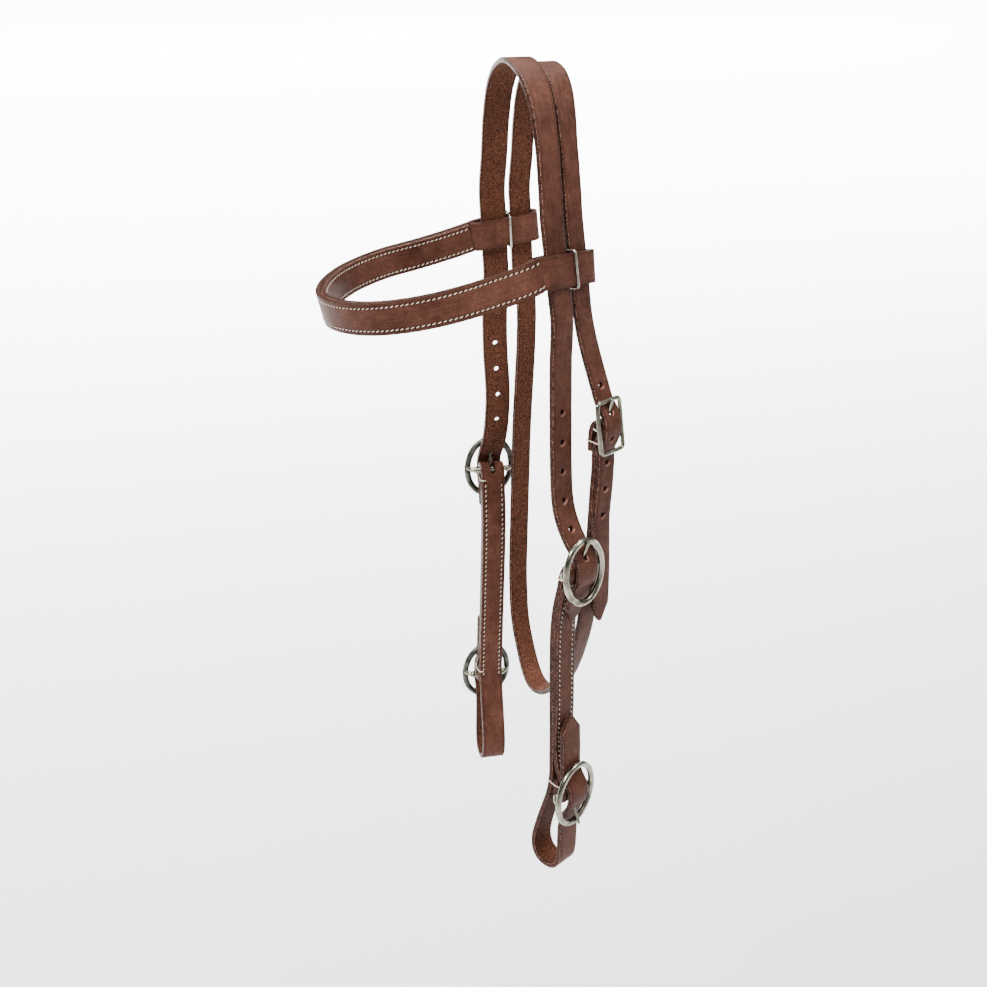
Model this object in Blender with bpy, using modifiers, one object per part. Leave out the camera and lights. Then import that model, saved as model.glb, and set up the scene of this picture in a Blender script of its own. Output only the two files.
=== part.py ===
"""Western headstall: crown strap, browband, throatlatch, two cheek pieces and five buckles.

All lengths are in metres. The horse faces -Y and its near (left) side is +X. The origin lies under
the crown strap at the poll, where the headstall hangs.
"""
import bisect
import math

import bmesh
import bpy
from mathutils import Matrix, Vector

NAME = "western_headstall"
NEAR = 1
FAR = -1

# Leather
LEATHER = 0.0036            # thickness of the crown strap and of each ply of a cheek piece
THROAT_LEATHER = 0.0034     # thickness of the throatlatch
BROW_LEATHER = 0.0034       # thickness of each ply of the browband
CHEEK_WIDTH = 0.019         # width of the crown strap and the cheek pieces
THROAT_WIDTH = 0.0159       # width of the throatlatch
BROW_WIDTH = 0.021          # height of the browband
EDGE_ROUND = 0.0007         # rounding of every strap edge
FACET_BEND = 15.0           # degrees that a strap may bend between two divisions
SHORTEST_FACET = 0.0020     # but no division is made closer than this
PLY_GAP = 0.0003            # gap between two plies that are stitched together
SEAT_GAP = 0.0003           # gap between pieces that rest on each other
TIP_LENGTH = 0.0125         # length of a strap's pointed end
TIP_FLAT = 0.0026           # width of the blunt end of that point

# How the straps hang
HALF_SPREAD = 0.0815        # poll line to the middle of the crown strap beside the cheek
CROWN_DROP = 0.3225         # poll down to the bars of the upper buckles
CHEEK_LENGTH = 0.1847       # bar of the upper buckle to bar of the lower buckle
BIT_LOOP_DROP = 0.0703      # bar of the lower buckle to the bottom of the bit loop
CHEEK_BACK = 0.0085         # how far behind the poll the cheek pieces hang
POLL_FLAT = 0.010           # straight length of the crown strap over the poll
NEAR_TURN = 30.0            # degrees that the near straps' outer face is turned to the back
FAR_TURN = 2.0              # the same on the far side
NEAR_LEAN = 1.2             # degrees that the near cheek piece leans back on its way down
FAR_LEAN = -1.4             # the far one leans forward

# Where the browband crosses the crown strap and the throatlatch
LOOP_INSET = 0.0066         # the crown strap there is this much nearer the poll line than HALF_SPREAD
NEAR_LOOP_DROP = 0.1208     # poll down to the middle of the near loop
FAR_LOOP_DROP = 0.1268      # poll down to the middle of the far loop
NEAR_LOOP_BACK = 0.0036     # crown strap's middle behind the poll at the near loop
FAR_LOOP_BACK = 0.0056      # the same at the far loop
SPLAY = 7.0                 # degrees that the straps spread there on their way down
LOOP_LEAN = 5.0             # degrees that they lean back there
BROW_TILT = 13.3            # degrees that the browband drops to the front
NEAR_LOOP_RISE = -4.0       # degrees that the near loop rises to the back, against square
FAR_LOOP_RISE = 3.5         # the same on the far side
BROW_SLIDE = 0.004          # how far the browband can slide up or down the straps
BROW_REACH = 0.1322         # poll line forward to the middle of the browband
BROW_BULGE = 0.0026         # the browband's sides are this much further out than its loops
BROW_DROP = 0.154           # poll down to the middle of the browband in front
LOOP_OVERLAP = 0.0065       # the browband's stitched part stops this far before the crown strap
SEAM_TURN = 0.0036          # last stretch of the stitched part, in line with its loop

# Throatlatch
THROAT_DROP = 0.482         # poll down to the lowest place of the throatlatch
THROAT_BACK = 0.030         # middle of the throatlatch behind the poll
THROAT_BUCKLE_DROP = 0.2267
THROAT_BUCKLE_INSET = 0.0040  # its bar is this much nearer the poll line than HALF_SPREAD
THROAT_BUCKLE_BACK = 0.0379
THROAT_TURN = 29.0          # degrees that the near part's outer face is turned to the back
THROAT_FAR_TURN = -15.0
THROAT_LEAN = 1.0           # degrees that the throatlatch leans back at its buckle
POLL_SPACE = 0.0013         # space between the crown strap and the throatlatch over the poll
POLL_SAG = 0.0030           # the throatlatch lies this much lower there
POLL_NARROW = 0.05          # and its arch is narrower by this share
THROAT_TIP = 0.148          # throatlatch buckle down to the strap's pointed end
THROAT_TURN_BACK = 0.018    # length of the stitched end behind the buckle's bar
THROAT_LEAVE = 28.0         # degrees that the throatlatch leans inward as it leaves that bar

# Oval buckles with a centre bar
RING_HEIGHT = 0.047         # between the middles of the rim's top and bottom
RING_WIDTH = 0.036
RIM_WIDTH = 0.005
RIM_THICK = 0.0042
RING_STAND = 0.0064         # middle of the rim in front of the bar
BAR_RADIUS = 0.002
BAR_CLEARANCE = 0.00035
BALL_RADIUS = 0.0026
BUCKLE_STAND = 0.0147       # bar of the upper buckle outside the crown strap's middle
CHEEK_SET = 0.0127          # the same bar outside the middle of the doubled cheek piece
LOWER_STAND = 0.0071        # bar of the lower buckle outside the middle of the cheek piece
BILLET_RISE = 0.0015        # room between the strap's fold and the strap that passes over it
NEAR_UPPER_ROLL = -10.0     # degrees that each oval is turned in its own plane
NEAR_LOWER_ROLL = 12.0
FAR_UPPER_ROLL = 4.0
FAR_LOWER_ROLL = 8.0

# Tongues
EYE_RADIUS = 0.0038
EYE_WIDTH = 0.0034
TONGUE_ROOT = 0.0015        # radius of the tongue at its eye
TONGUE_TIP = 0.0011
TONGUE_OVERHANG = 0.0016    # how far the tongue reaches past the middle of the rim
TONGUE_LIFT = 8.0           # degrees that a fastened tongue can lift
SLOT_CLEARANCE = 0.0005
EYE_MARGIN = 0.001          # the slot for an eye runs this far past the strap
EYE_DEPTH_SHARE = 0.9       # depth of the lower fold's slot, share of its fold's reach
EYE_SHIFT_SHARE = 0.25      # and that slot is moved outward by this share of it
TONGUE_END_SHARES = ((1.0, 1.0), (0.6, 0.25))  # rounded tip: radius, length left, of TONGUE_TIP

# Rectangular buckle of the throatlatch
FRAME_HEIGHT = 0.035
FRAME_WIDTH = 0.0222
FRAME_WIRE = 0.0015
FRAME_STAND = 0.0055
FRAME_CORNER = 0.003
FRAME_TILT = 8.0            # degrees that the rectangle is tilted on its bar, its lower end outwards
THROAT_RISE = 0.0006
THROAT_EYE_RADIUS = 0.0031

# Wire keepers and holes
KEEPER_WIRE = 0.0009
KEEPER_CORNER = 0.0016
KEEPER_ROOM = 0.00055       # room between the keeper's wire and the straps on both sides of it
HOLE_RADIUS = 0.0018
HOLE_PITCH = 0.0208
THROAT_PITCH = 0.0190
SPARE_HOLES = 5
THROAT_HOLES = (-4, -3, -2, -1, 1)  # holes from the one in use, down the billet first, in pitches

CUT = 0.004                 # how far a cutter runs past what it cuts

# Places along the straps, as shares of the sizes above: out from the poll line, down from the poll
# and back behind it
CROWN_SHARES = ((0.21, 0.0078), (0.39, 0.0267), (0.56, 0.0623), (0.70, 0.1274), (0.805, 0.2190))
CROWN_LOW_SHARES = ((0.985, 0.550), (1.0, 0.670))
NEAR_BACK_SHARES = (0.03, 0.05, 0.08, 0.12, 0.15)
FAR_BACK_SHARES = (0.06, 0.12, 0.18, 0.25, 0.35)
NEAR_LOW_BACK_SHARES = (0.66, 0.69)
FAR_LOW_BACK_SHARES = (0.93, 1.00)
NEAR_BAR_BACK_SHARE = 0.93
FAR_BAR_BACK_SHARE = 1.06
TURN_SHARES = (0.35, 0.70, 0.90, 1.0, 1.0)

# Straps at an oval buckle: down from the bar in half ring heights, and out from the bar. The out
# share is of the strap's height over the fold where it is positive, and else of BUCKLE_STAND
UPPER_BILLET_SHARES = (
    (-2.75, -0.99), (-2.15, -0.93), (-1.62, -0.755), (-1.22, -0.47), (-0.90, -0.15),
    (-0.50, 0.58), (-0.24, 0.93), (0.0, 1.0), (0.25, 0.90), (0.60, 0.35), (1.0, 0.03),
    (1.32, -0.14), (1.74, -0.28))
LOWER_BILLET_SHARES = (
    (1.32, -0.04), (1.0, 0.05), (0.64, 0.36), (0.30, 0.87), (0.0, 1.0), (-0.30, 0.91),
    (-0.60, 0.46), (-0.77, 0.235), (-0.96, 0.18), (-1.5, 0.17), (-2.05, 0.13), (-2.80, 0.10))
# The outer ply where it leaves the doubled part for the lower bar: shares as for CHEEK_SHARES
CHEEK_JOIN_SHARES = ((0.924, 0.45), (0.883, 0.71))
# The doubled cheek piece below the upper bar: share of its length, share of CHEEK_SET
CHEEK_SHARES = ((0.087, 0.51), (0.146, 0.725), (0.222, 0.90), (0.303, 0.985), (0.38, 1.0), (0.60, 1.0))
# The bit loop: down share of BIT_LOOP_DROP from the lower bar, out share of its own breadth from
# the cheek piece's middle
BIT_LOOP_BREADTH = 0.0255
BIT_IN_SHARES = (
    (-0.10, -0.11), (0.08, -0.22), (0.27, -0.395), (0.44, -0.55), (0.615, -0.695), (0.765, -0.775),
    (0.89, -0.735), (0.965, -0.60))
BIT_FLAT_SHARES = ((1.0, -0.385), (1.0, -0.19))
BIT_OUT_SHARES = ((0.97, 0.01), (0.90, 0.145), (0.785, 0.21), (0.615, 0.232))
STRAIGHT_END = 0.82          # the doubled part's plies are straight down to this share
BIT_TURN_SHARE = 0.060      # length of the stitched end at the lower bar, share of the cheek piece

# The throatlatch below its buckle and round the throat: out, down and back shares
THROAT_SHARES = (
    (0.908, 0.720, 1.09), (0.846, 0.786, 1.06), (0.736, 0.840, 1.01), (0.552, 0.900, 0.95),
    (0.245, 0.956, 0.93), (0.0, 0.984, 0.92), (-0.172, 0.996, 0.90), (-0.343, 1.0, 0.90),
    (-0.515, 0.995, 0.92), (-0.699, 0.971, 0.92), (-0.834, 0.933, 0.89), (-0.908, 0.858, 0.87),
    (-0.933, 0.767, 0.90), (-0.945, 0.695, 0.93), (-0.945, 0.573, 0.97), (-0.945, 0.500, 1.02),
    (-0.945, 0.436, 1.06), (-0.938, 0.382, 1.05))
# At the rectangular buckle: down in half frame heights, out in heights over the fold
THROAT_BILLET_SHARES = (
    (-2.3, -0.70), (-1.5, -0.58), (-1.0, -0.10), (-0.52, 0.68), (-0.24, 0.94), (0.0, 1.0),
    (0.24, 0.95), (0.56, 0.69), (1.0, 0.26), (1.5, 0.25), (2.3, 0.25))
# Its billet further down and its end below the bar: shares of THROAT_TIP down, of the heights of the
# two straps out and of THROAT_WIDTH back
THROAT_TAIL_SHARES = (
    (0.30, 0.25, -0.02), (0.44, 0.25, -0.14), (0.61, 0.17, -0.04), (0.79, 0.0, 0.12),
    (1.0, -0.11, 0.15))
THROAT_UNDER_SHARES = ((0.54, 1.4, -0.13), (0.44, 1.1, -0.12), (0.27, 1.0, -0.04), (0.19, 1.0, 0.02))
THROAT_LEAVE_SHARE = 1.1     # out share where it leaves the bar
THROAT_END_SHARE = 0.7       # its sewn end lies flat from this share of THROAT_TURN_BACK

# The browband's middle line: out, forward and down shares, near side first
BROW_SHARES = (
    (1.0, 0.355, 0.867), (0.914, 0.613, 0.922), (0.703, 0.815, 0.962), (0.38, 0.947, 0.989),
    (0.0, 1.0, 1.0), (-0.38, 0.947, 0.991), (-0.703, 0.815, 0.970), (-0.905, 0.613, 0.938),
    (-0.978, 0.355, 0.900))
BROW_TWIST_SHARES = (0.75, 0.4, 0.15, 0.0, 0.0, 0.0, 0.15, 0.4, 0.75)
# How the plies spread into a loop: out share of LOOP_MID, and share of LOOP_OVERLAP before the strap
LOOP_IN_SHARES = (0.80, 0.45)
LOOP_OUT_SHARES = (0.86, 0.45)
LOOP_BACK_SHARE = 0.6       # a loop is straight back to this share of the way to its fold
BROW_END_SHARE = 0.014      # length of the stitched part's first division
BAR_BEND_SHARE = 0.35       # where a buckle's bar is bent on its way to the rim

# Numbers of divisions
FOLD_STEPS = 8
LOOP_STEPS = 8
BROW_STEPS = 28

# Sizes that follow from those above
CLOSE = 0.00001                                           # vertices nearer than this are merged
LOOP_SPREAD = HALF_SPREAD - LOOP_INSET
THROAT_BUCKLE_OUT = HALF_SPREAD - THROAT_BUCKLE_INSET
BROW_HALF_SPAN = LOOP_SPREAD + BROW_BULGE
HALF_RING = RING_HEIGHT / 2
FOLD_RADIUS = BAR_RADIUS + BAR_CLEARANCE + LEATHER / 2     # middle of the strap round a bar
OVER_FOLD = FOLD_RADIUS + BILLET_RISE + LEATHER
PLY_OFFSET = (LEATHER + PLY_GAP) / 2
THROAT_FOLD = FRAME_WIRE + BAR_CLEARANCE + THROAT_LEATHER / 2
THROAT_OVER = THROAT_FOLD + THROAT_RISE + THROAT_LEATHER
HALF_FRAME = FRAME_HEIGHT / 2
KEEPER_SPACE = 2 * (KEEPER_WIRE + KEEPER_ROOM)             # between crown strap and throatlatch
THROAT_OFFSET = CHEEK_WIDTH / 2 + KEEPER_SPACE + THROAT_WIDTH / 2
POLL_OFFSET = CHEEK_WIDTH / 2 + POLL_SPACE + THROAT_WIDTH / 2
LOOP_ROOM = SEAT_GAP + BROW_SLIDE * math.tan(math.radians(SPLAY))
LOOP_MID = LEATHER / 2 + LOOP_ROOM + BROW_LEATHER / 2      # ply of a loop from the crown's middle
BROW_PLY = (BROW_LEATHER + PLY_GAP) / 2
STRAIGHT = BROW_WIDTH / 2 + BROW_SLIDE + EDGE_ROUND        # half the straight stretch in a loop
LOOP_STITCH = CHEEK_WIDTH / 2 + LOOP_OVERLAP
SLOT_LENGTH = 2 * LEATHER


class Seat:
    """A place on the headstall with the directions out, back and down there."""

    def __init__(self, origin, out, back, down):
        self.origin, self.out, self.back, self.down = origin, out, back, down

    def at(self, out=0.0, back=0.0, down=0.0):
        """A point given by its distances from the seat."""
        return self.origin + self.out * out + self.back * back + self.down * down

    def matrix(self):
        """Local X is out, local Z is up the strap and local Y is across it."""
        up = -self.down
        across = up.cross(self.out)
        turn = Matrix((self.out, across, up)).transposed().to_4x4()
        return Matrix.Translation(self.origin) @ turn


def seat_on(side, origin, turn, lean):
    """A seat whose outer face is turned to the back and which leans back on its way down."""
    turn, lean = math.radians(turn), math.radians(lean)
    out = Vector((side * math.cos(turn), math.sin(turn), 0))
    level = Vector((-side * math.sin(turn), math.cos(turn), 0))
    up = Vector((0, 0, 1))
    back = level * math.cos(lean) + up * math.sin(lean)
    down = level * math.sin(lean) - up * math.cos(lean)
    return Seat(origin, out, back, down)


def turned_back(side, turn):
    """The level direction across a strap whose outer face is turned to the back."""
    turn = math.radians(turn)
    return Vector((-side * math.sin(turn), math.cos(turn), 0))


def side_turn(side):
    return NEAR_TURN if side == NEAR else FAR_TURN


def loop_seat(side):
    """The middle of the crown strap inside one of the browband's loops."""
    drop, behind = (NEAR_LOOP_DROP, NEAR_LOOP_BACK) if side == NEAR else (FAR_LOOP_DROP, FAR_LOOP_BACK)
    down = Vector((side * math.tan(math.radians(SPLAY)), math.tan(math.radians(LOOP_LEAN)), -1))
    down.normalize()
    level = turned_back(side, side_turn(side))
    back = (level - down * level.dot(down)).normalized()
    out = down.cross(back) * side
    return Seat(Vector((side * LOOP_SPREAD, behind, LEATHER / 2 - drop)), out, back, down)


def bar_seat(side):
    """The middle of an upper buckle's bar."""
    turn = side_turn(side)
    lean = NEAR_LEAN if side == NEAR else FAR_LEAN
    back_share = NEAR_BAR_BACK_SHARE if side == NEAR else FAR_BAR_BACK_SHARE
    crown = Vector((side * HALF_SPREAD, CHEEK_BACK * back_share, LEATHER / 2 - CROWN_DROP))
    seat = seat_on(side, crown, turn, lean)
    return seat_on(side, seat.at(out=BUCKLE_STAND), turn, lean)


def lower_bar_seat(side):
    """The middle of a lower buckle's bar."""
    seat = bar_seat(side)
    origin = seat.at(out=LOWER_STAND - CHEEK_SET, down=CHEEK_LENGTH)
    return Seat(origin, seat.out, seat.back, seat.down)


def throat_seat():
    """The middle of the bar of the throatlatch's buckle."""
    origin = Vector((THROAT_BUCKLE_OUT, THROAT_BUCKLE_BACK, LEATHER / 2 - THROAT_BUCKLE_DROP))
    return seat_on(NEAR, origin, THROAT_TURN, THROAT_LEAN)


def frame_seat():
    """The same bar with the directions of the tilted frame."""
    seat = throat_seat()
    tilt = math.radians(FRAME_TILT)
    out = seat.out * math.cos(tilt) - seat.down * math.sin(tilt)
    down = seat.down * math.cos(tilt) + seat.out * math.sin(tilt)
    return Seat(seat.origin, out, seat.back, down)


class Route:
    """A strap's middle line, smooth through its knots, with the direction across the strap."""

    def __init__(self, knots, fine=20, square=True):
        self.fine, self.square = fine, square
        points = [Vector(point) for point, _ in knots]
        across = [Vector(way) for _, way in knots]
        pace = self._pace(points)
        self.points, self.across = [], []
        for i in range(len(points) - 1):
            span = (points[i + 1] - points[i]).length
            for step in range(fine):
                t = step / fine
                self.points.append(self._between(points, pace, i, span, t))
                self.across.append(across[i].lerp(across[i + 1], t))
        self.points.append(points[-1])
        self.across.append(across[-1])
        self.reach = [0.0]
        for a, b in zip(self.points, self.points[1:]):
            self.reach.append(self.reach[-1] + (b - a).length)

    @staticmethod
    def _pace(points):
        """The direction of the line at each knot, weighted by the spans beside it."""
        pace = []
        for i in range(len(points)):
            before = points[i] - points[i - 1] if i > 0 else None
            after = points[i + 1] - points[i] if i < len(points) - 1 else None
            if before is None or after is None:
                pace.append((after or before).normalized())
                continue
            mixed = before.normalized() * after.length + after.normalized() * before.length
            pace.append(mixed / (before.length + after.length))
        return pace

    @staticmethod
    def _between(points, pace, i, span, t):
        a = 2 * t ** 3 - 3 * t ** 2 + 1
        b = t ** 3 - 2 * t ** 2 + t
        c = -2 * t ** 3 + 3 * t ** 2
        d = t ** 3 - t ** 2
        return points[i] * a + pace[i] * (span * b) + points[i + 1] * c + pace[i + 1] * (span * d)

    @property
    def length(self):
        return self.reach[-1]

    def place(self, reach):
        """The point, the way along and the way across at a distance from the start."""
        reach = min(max(reach, 0.0), self.length)
        i = min(max(bisect.bisect_right(self.reach, reach) - 1, 0), len(self.points) - 2)
        t = (reach - self.reach[i]) / (self.reach[i + 1] - self.reach[i])
        along = (self.points[min(i + 2, len(self.points) - 1)] - self.points[max(i - 1, 0)]).normalized()
        across = self.across[i].lerp(self.across[i + 1], t)
        if self.square:
            across -= along * across.dot(along)
        return self.points[i].lerp(self.points[i + 1], t), along, across.normalized()

    def nearest(self, target):
        """The distance from the start to the place nearest a point."""
        i = min(range(len(self.points)), key=lambda k: (self.points[k] - target).length)
        return self.reach[i]

    def stops(self, extra=(), flat=()):
        """Distances where the strap is divided: at its knots, and between them where it bends.

        The strap stays straight between the two distances in flat."""
        kept = [0.0]
        for i in range(0, len(self.points) - 1, self.fine):
            turns = [self.place(reach)[1] for reach in self.reach[i:i + self.fine + 1]]
            bend = sum(a.angle(b, 0.0) for a, b in zip(turns, turns[1:]))
            pieces = max(1, math.ceil(math.degrees(bend) / FACET_BEND))
            if self.reach[i + self.fine] - self.reach[i] < SHORTEST_FACET * pieces:
                pieces = 1
            for piece in range(pieces):
                kept.append(self.reach[i + round(self.fine * (piece + 1) / pieces)])
        for reach in list(extra) + list(flat):
            kept = [k for k in kept if abs(k - reach) > 3 * EDGE_ROUND] + [reach]
        if flat:
            kept = [k for k in kept if k <= min(flat) or k >= max(flat)]
        return sorted(kept)


def clear_scene():
    for item in list(bpy.data.objects):
        bpy.data.objects.remove(item, do_unlink=True)


def new_collection(name):
    collection = bpy.data.collections.new(name)
    bpy.context.scene.collection.children.link(collection)
    return collection


def surface(name, colour, roughness, metallic):
    """A material with one colour, for the solid's own look."""
    material = bpy.data.materials.new(name)
    material.use_nodes = True
    shader = material.node_tree.nodes["Principled BSDF"]
    shader.inputs["Base Color"].default_value = (*colour, 1)
    shader.inputs["Roughness"].default_value = roughness
    shader.inputs["Metallic"].default_value = metallic
    return material


def leather(name):
    return surface(name, (0.13, 0.052, 0.034), 0.5, 0.0)


def nickel(name):
    return surface(name, (0.62, 0.60, 0.55), 0.22, 1.0)


def add_object(name, bm, collection, material=None, matrix=None):
    """An object with the mesh of bm, in one collection, at one place."""
    mesh = bpy.data.meshes.new(name)
    bm.to_mesh(mesh)
    bm.free()
    item = bpy.data.objects.new(name, mesh)
    collection.objects.link(item)
    if material:
        mesh.materials.append(material)
    if matrix:
        item.matrix_world = matrix
    return item


def hide_tool(item):
    item.hide_render = True
    item.display_type = "WIRE"
    return item


def combine(item, other, operation):
    """Cut another object out of this one, or join it on."""
    step = item.modifiers.new(operation.title() + "_" + other.name[-20:], "BOOLEAN")
    step.operation = operation
    step.object = other
    step.solver = "EXACT"


def strap(name, route, width, thick, tips, collection, matrix=None, flat=()):
    """A strap: a flat strip carried along its route, thickened and rounded along its edges.

    tips says whether the start and the end are pointed, flat which stretch stays straight."""
    extra = []
    for pointed, at in zip(tips, (0.0, route.length)):
        if pointed:
            extra.append(abs(at - TIP_LENGTH))
    places = route.stops(extra, flat)
    bm = bmesh.new()
    bmesh.ops.create_grid(bm, x_segments=len(places) - 1, y_segments=1, size=1.0)
    for vertex in bm.verts:
        reach = places[round((vertex.co.x + 1) / 2 * (len(places) - 1))]
        ends = [end for pointed, end in zip(tips, (reach, route.length - reach)) if pointed]
        narrow = min([1.0] + [end / TIP_LENGTH for end in ends])
        half = TIP_FLAT / 2 + (width / 2 - TIP_FLAT / 2) * narrow
        point, _, across = route.place(reach)
        vertex.co = point + across * math.copysign(half, vertex.co.y)
    item = add_object(name, bm, collection, leather(name + "_leather"), matrix)
    thicken = item.modifiers.new("Thickness", "SOLIDIFY")
    thicken.thickness = thick
    thicken.offset = 0.0
    thicken.use_even_offset = True
    edges = item.modifiers.new("Rounded edges", "BEVEL")
    edges.width = EDGE_ROUND
    edges.segments = 1
    edges.limit_method = "ANGLE"
    edges.angle_limit = math.radians(50)
    return item


def tidy(item):
    """Merge the slivers that cutting leaves behind."""
    weld = item.modifiers.new("Merged slivers", "WELD")
    weld.merge_threshold = CLOSE


def punch_tool(name, route, reach, radius, length, tools, matrix=None):
    """A punch through a strap: round, or drawn out along the strap into a slot."""
    point, along, across = route.place(reach)
    through = along.cross(across)
    bm = bmesh.new()
    bmesh.ops.create_cone(bm, cap_ends=True, segments=12, radius1=radius, radius2=radius,
                          depth=LEATHER + 2 * CUT)
    for vertex in bm.verts:
        if length:
            vertex.co.x += math.copysign(length / 2, vertex.co.x) if abs(vertex.co.x) > CLOSE else 0.0
    turn = Matrix((along, across, through)).transposed().to_4x4()
    place = Matrix.Translation(point) @ turn
    return hide_tool(add_object(name, bm, tools, None, matrix @ place if matrix else place))


def fold_knots(seat, radius, leave, start, finish):
    """Knots of a strap that goes round a bar, in the plane of out and down.

    Angles are measured from the out direction towards down, in degrees, and leave turns them all."""
    knots = []
    for i in range(FOLD_STEPS + 1):
        angle = math.radians(leave + start + (finish - start) * i / FOLD_STEPS)
        knots.append((seat.at(out=radius * math.cos(angle), down=radius * math.sin(angle)), seat.back))
    return knots


def billet_knots(seat, shares, half, over, under):
    """Knots of a strap that passes over a buckle's bar and under its rim."""
    knots = []
    for down_share, out_share in shares:
        out = out_share * (over if out_share > 0 else under)
        knots.append((seat.at(out=out, down=down_share * half), seat.back))
    return knots


def crown_side(side):
    """Knots of the crown strap from just beside the poll down to its pointed end."""
    turn = side_turn(side)
    back_shares = NEAR_BACK_SHARES if side == NEAR else FAR_BACK_SHARES
    low_back_shares = NEAR_LOW_BACK_SHARES if side == NEAR else FAR_LOW_BACK_SHARES
    top = LEATHER / 2
    knots = [(Vector((side * POLL_FLAT / 2, 0, top)), Vector((0, 1, 0)))]
    for (out, down), back, turned in zip(CROWN_SHARES, back_shares, TURN_SHARES):
        place = Vector((side * out * HALF_SPREAD, back * CHEEK_BACK, top - down * CROWN_DROP))
        knots.append((place, turned_back(side, turned * turn)))
    loop = loop_seat(side)
    for share in (-2, -1, 1, 2):
        knots.append((loop.at(down=share * STRAIGHT), loop.back))
    for (out, down), back in zip(CROWN_LOW_SHARES, low_back_shares):
        place = Vector((side * out * HALF_SPREAD, back * CHEEK_BACK, top - down * CROWN_DROP))
        knots.append((place, turned_back(side, turn)))
    knots += billet_knots(bar_seat(side), UPPER_BILLET_SHARES, HALF_RING, OVER_FOLD, BUCKLE_STAND)
    return knots


def tongue_angle(stand, half, thick, root):
    """Degrees from the out direction up to a tongue that rests on its rim."""
    over = thick / 2 + SEAT_GAP + root
    angle = math.atan2(half, stand + over)
    for _ in range(4):
        angle = math.atan2(half, stand + over / math.sin(angle))
    return math.degrees(angle)


def tongue_cross(seat, route, angle, way):
    """The place along a strap where a tongue passes through it. way is -1 up and 1 down."""
    angle = math.radians(angle)
    direction = seat.out * math.cos(angle) + seat.down * (way * math.sin(angle))
    best = None
    for reach, point in zip(route.reach, route.points):
        arm = point - seat.origin
        ahead = arm.dot(direction)
        miss = (arm - direction * ahead).length
        if ahead > FOLD_RADIUS + LEATHER and (best is None or miss < best[0]):
            best = (miss, reach)
    return best[1]


def make_crown(parts, tools):
    """The crown strap, with its holes and the slots where the tongues pass."""
    near, far = crown_side(NEAR), crown_side(FAR)
    route = Route(list(reversed(near)) + far)
    flat = [route.nearest(near[0][0]), route.nearest(far[0][0])]
    item = strap("crown_strap", route, CHEEK_WIDTH, LEATHER, (True, True), parts, flat=flat)
    angle = tongue_angle(RING_STAND, HALF_RING, RIM_THICK, TONGUE_TIP) - TONGUE_LIFT / 2
    for side, label in ((NEAR, "near"), (FAR, "far")):
        cross = tongue_cross(bar_seat(side), route, angle, -1)
        slot = punch_tool(f"crown_slot_{label}", route, cross, TONGUE_ROOT + SLOT_CLEARANCE,
                          SLOT_LENGTH, tools)
        combine(item, slot, "DIFFERENCE")
        for i in range(SPARE_HOLES):
            reach = cross + side * (i + 1) * HOLE_PITCH
            hole = punch_tool(f"crown_hole_{label}_{i + 1}", route, reach, HOLE_RADIUS, 0.0, tools)
            combine(item, hole, "DIFFERENCE")
    tidy(item)


def cheek_knots():
    """Knots of one cheek strap in its own plane, from the stitched end at the lower bar, up round
    the upper bar, down to the bit loop and up again through the lower buckle."""
    own = Seat(Vector((0, 0, 0)), Vector((1, 0, 0)), Vector((0, 1, 0)), Vector((0, 0, -1)))
    middle = [(share * CHEEK_LENGTH, -set_share * CHEEK_SET) for share, set_share in CHEEK_SHARES]
    low = Seat(own.at(out=LOWER_STAND - CHEEK_SET, down=CHEEK_LENGTH), own.out, own.back, own.down)
    first_down, first_out = middle[0]
    leave = math.degrees(math.atan2(-first_out, first_down))
    join = [(share * CHEEK_LENGTH, -set_share * CHEEK_SET) for share, set_share in CHEEK_JOIN_SHARES]
    rise = LOWER_STAND - CHEEK_SET + FOLD_RADIUS - join[0][1]
    come = math.degrees(math.atan2(rise, CHEEK_LENGTH - join[0][0]))

    def ply(offset):
        """The doubled part's middle line, moved to one ply."""
        moved = []
        for i, (down, out) in enumerate(middle):
            before = middle[i - 1] if i > 0 else (0.0, 0.0)
            after = middle[i + 1] if i < len(middle) - 1 else (down + CHEEK_SET, out)
            lean = math.atan2(after[1] - before[1], after[0] - before[0])
            moved.append((own.at(out=out + offset * math.cos(lean), down=down - offset * math.sin(lean)),
                          own.back))
        return moved

    straight_out = PLY_OFFSET - CHEEK_SET
    knots = [(low.at(out=-FOLD_RADIUS, down=-BIT_TURN_SHARE * CHEEK_LENGTH), own.back)]
    knots += fold_knots(low, FOLD_RADIUS, 0.0, 180.0, -come)
    knots += [(own.at(out=out, down=down), own.back) for down, out in join]
    knots.append((own.at(out=straight_out, down=STRAIGHT_END * CHEEK_LENGTH), own.back))
    knots += list(reversed(ply(PLY_OFFSET)))
    knots += fold_knots(own, FOLD_RADIUS, leave, 0.0, -180.0)
    knots += ply(-PLY_OFFSET)
    knots.append((own.at(out=-PLY_OFFSET - CHEEK_SET, down=STRAIGHT_END * CHEEK_LENGTH), own.back))
    for shares in (BIT_IN_SHARES, BIT_FLAT_SHARES, BIT_OUT_SHARES):
        for down_share, out_share in shares:
            out = out_share * BIT_LOOP_BREADTH - CHEEK_SET
            knots.append((own.at(out=out, down=CHEEK_LENGTH + down_share * BIT_LOOP_DROP), own.back))
    knots += billet_knots(low, LOWER_BILLET_SHARES[1:], HALF_RING, OVER_FOLD, BUCKLE_STAND)
    return knots, low


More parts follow.
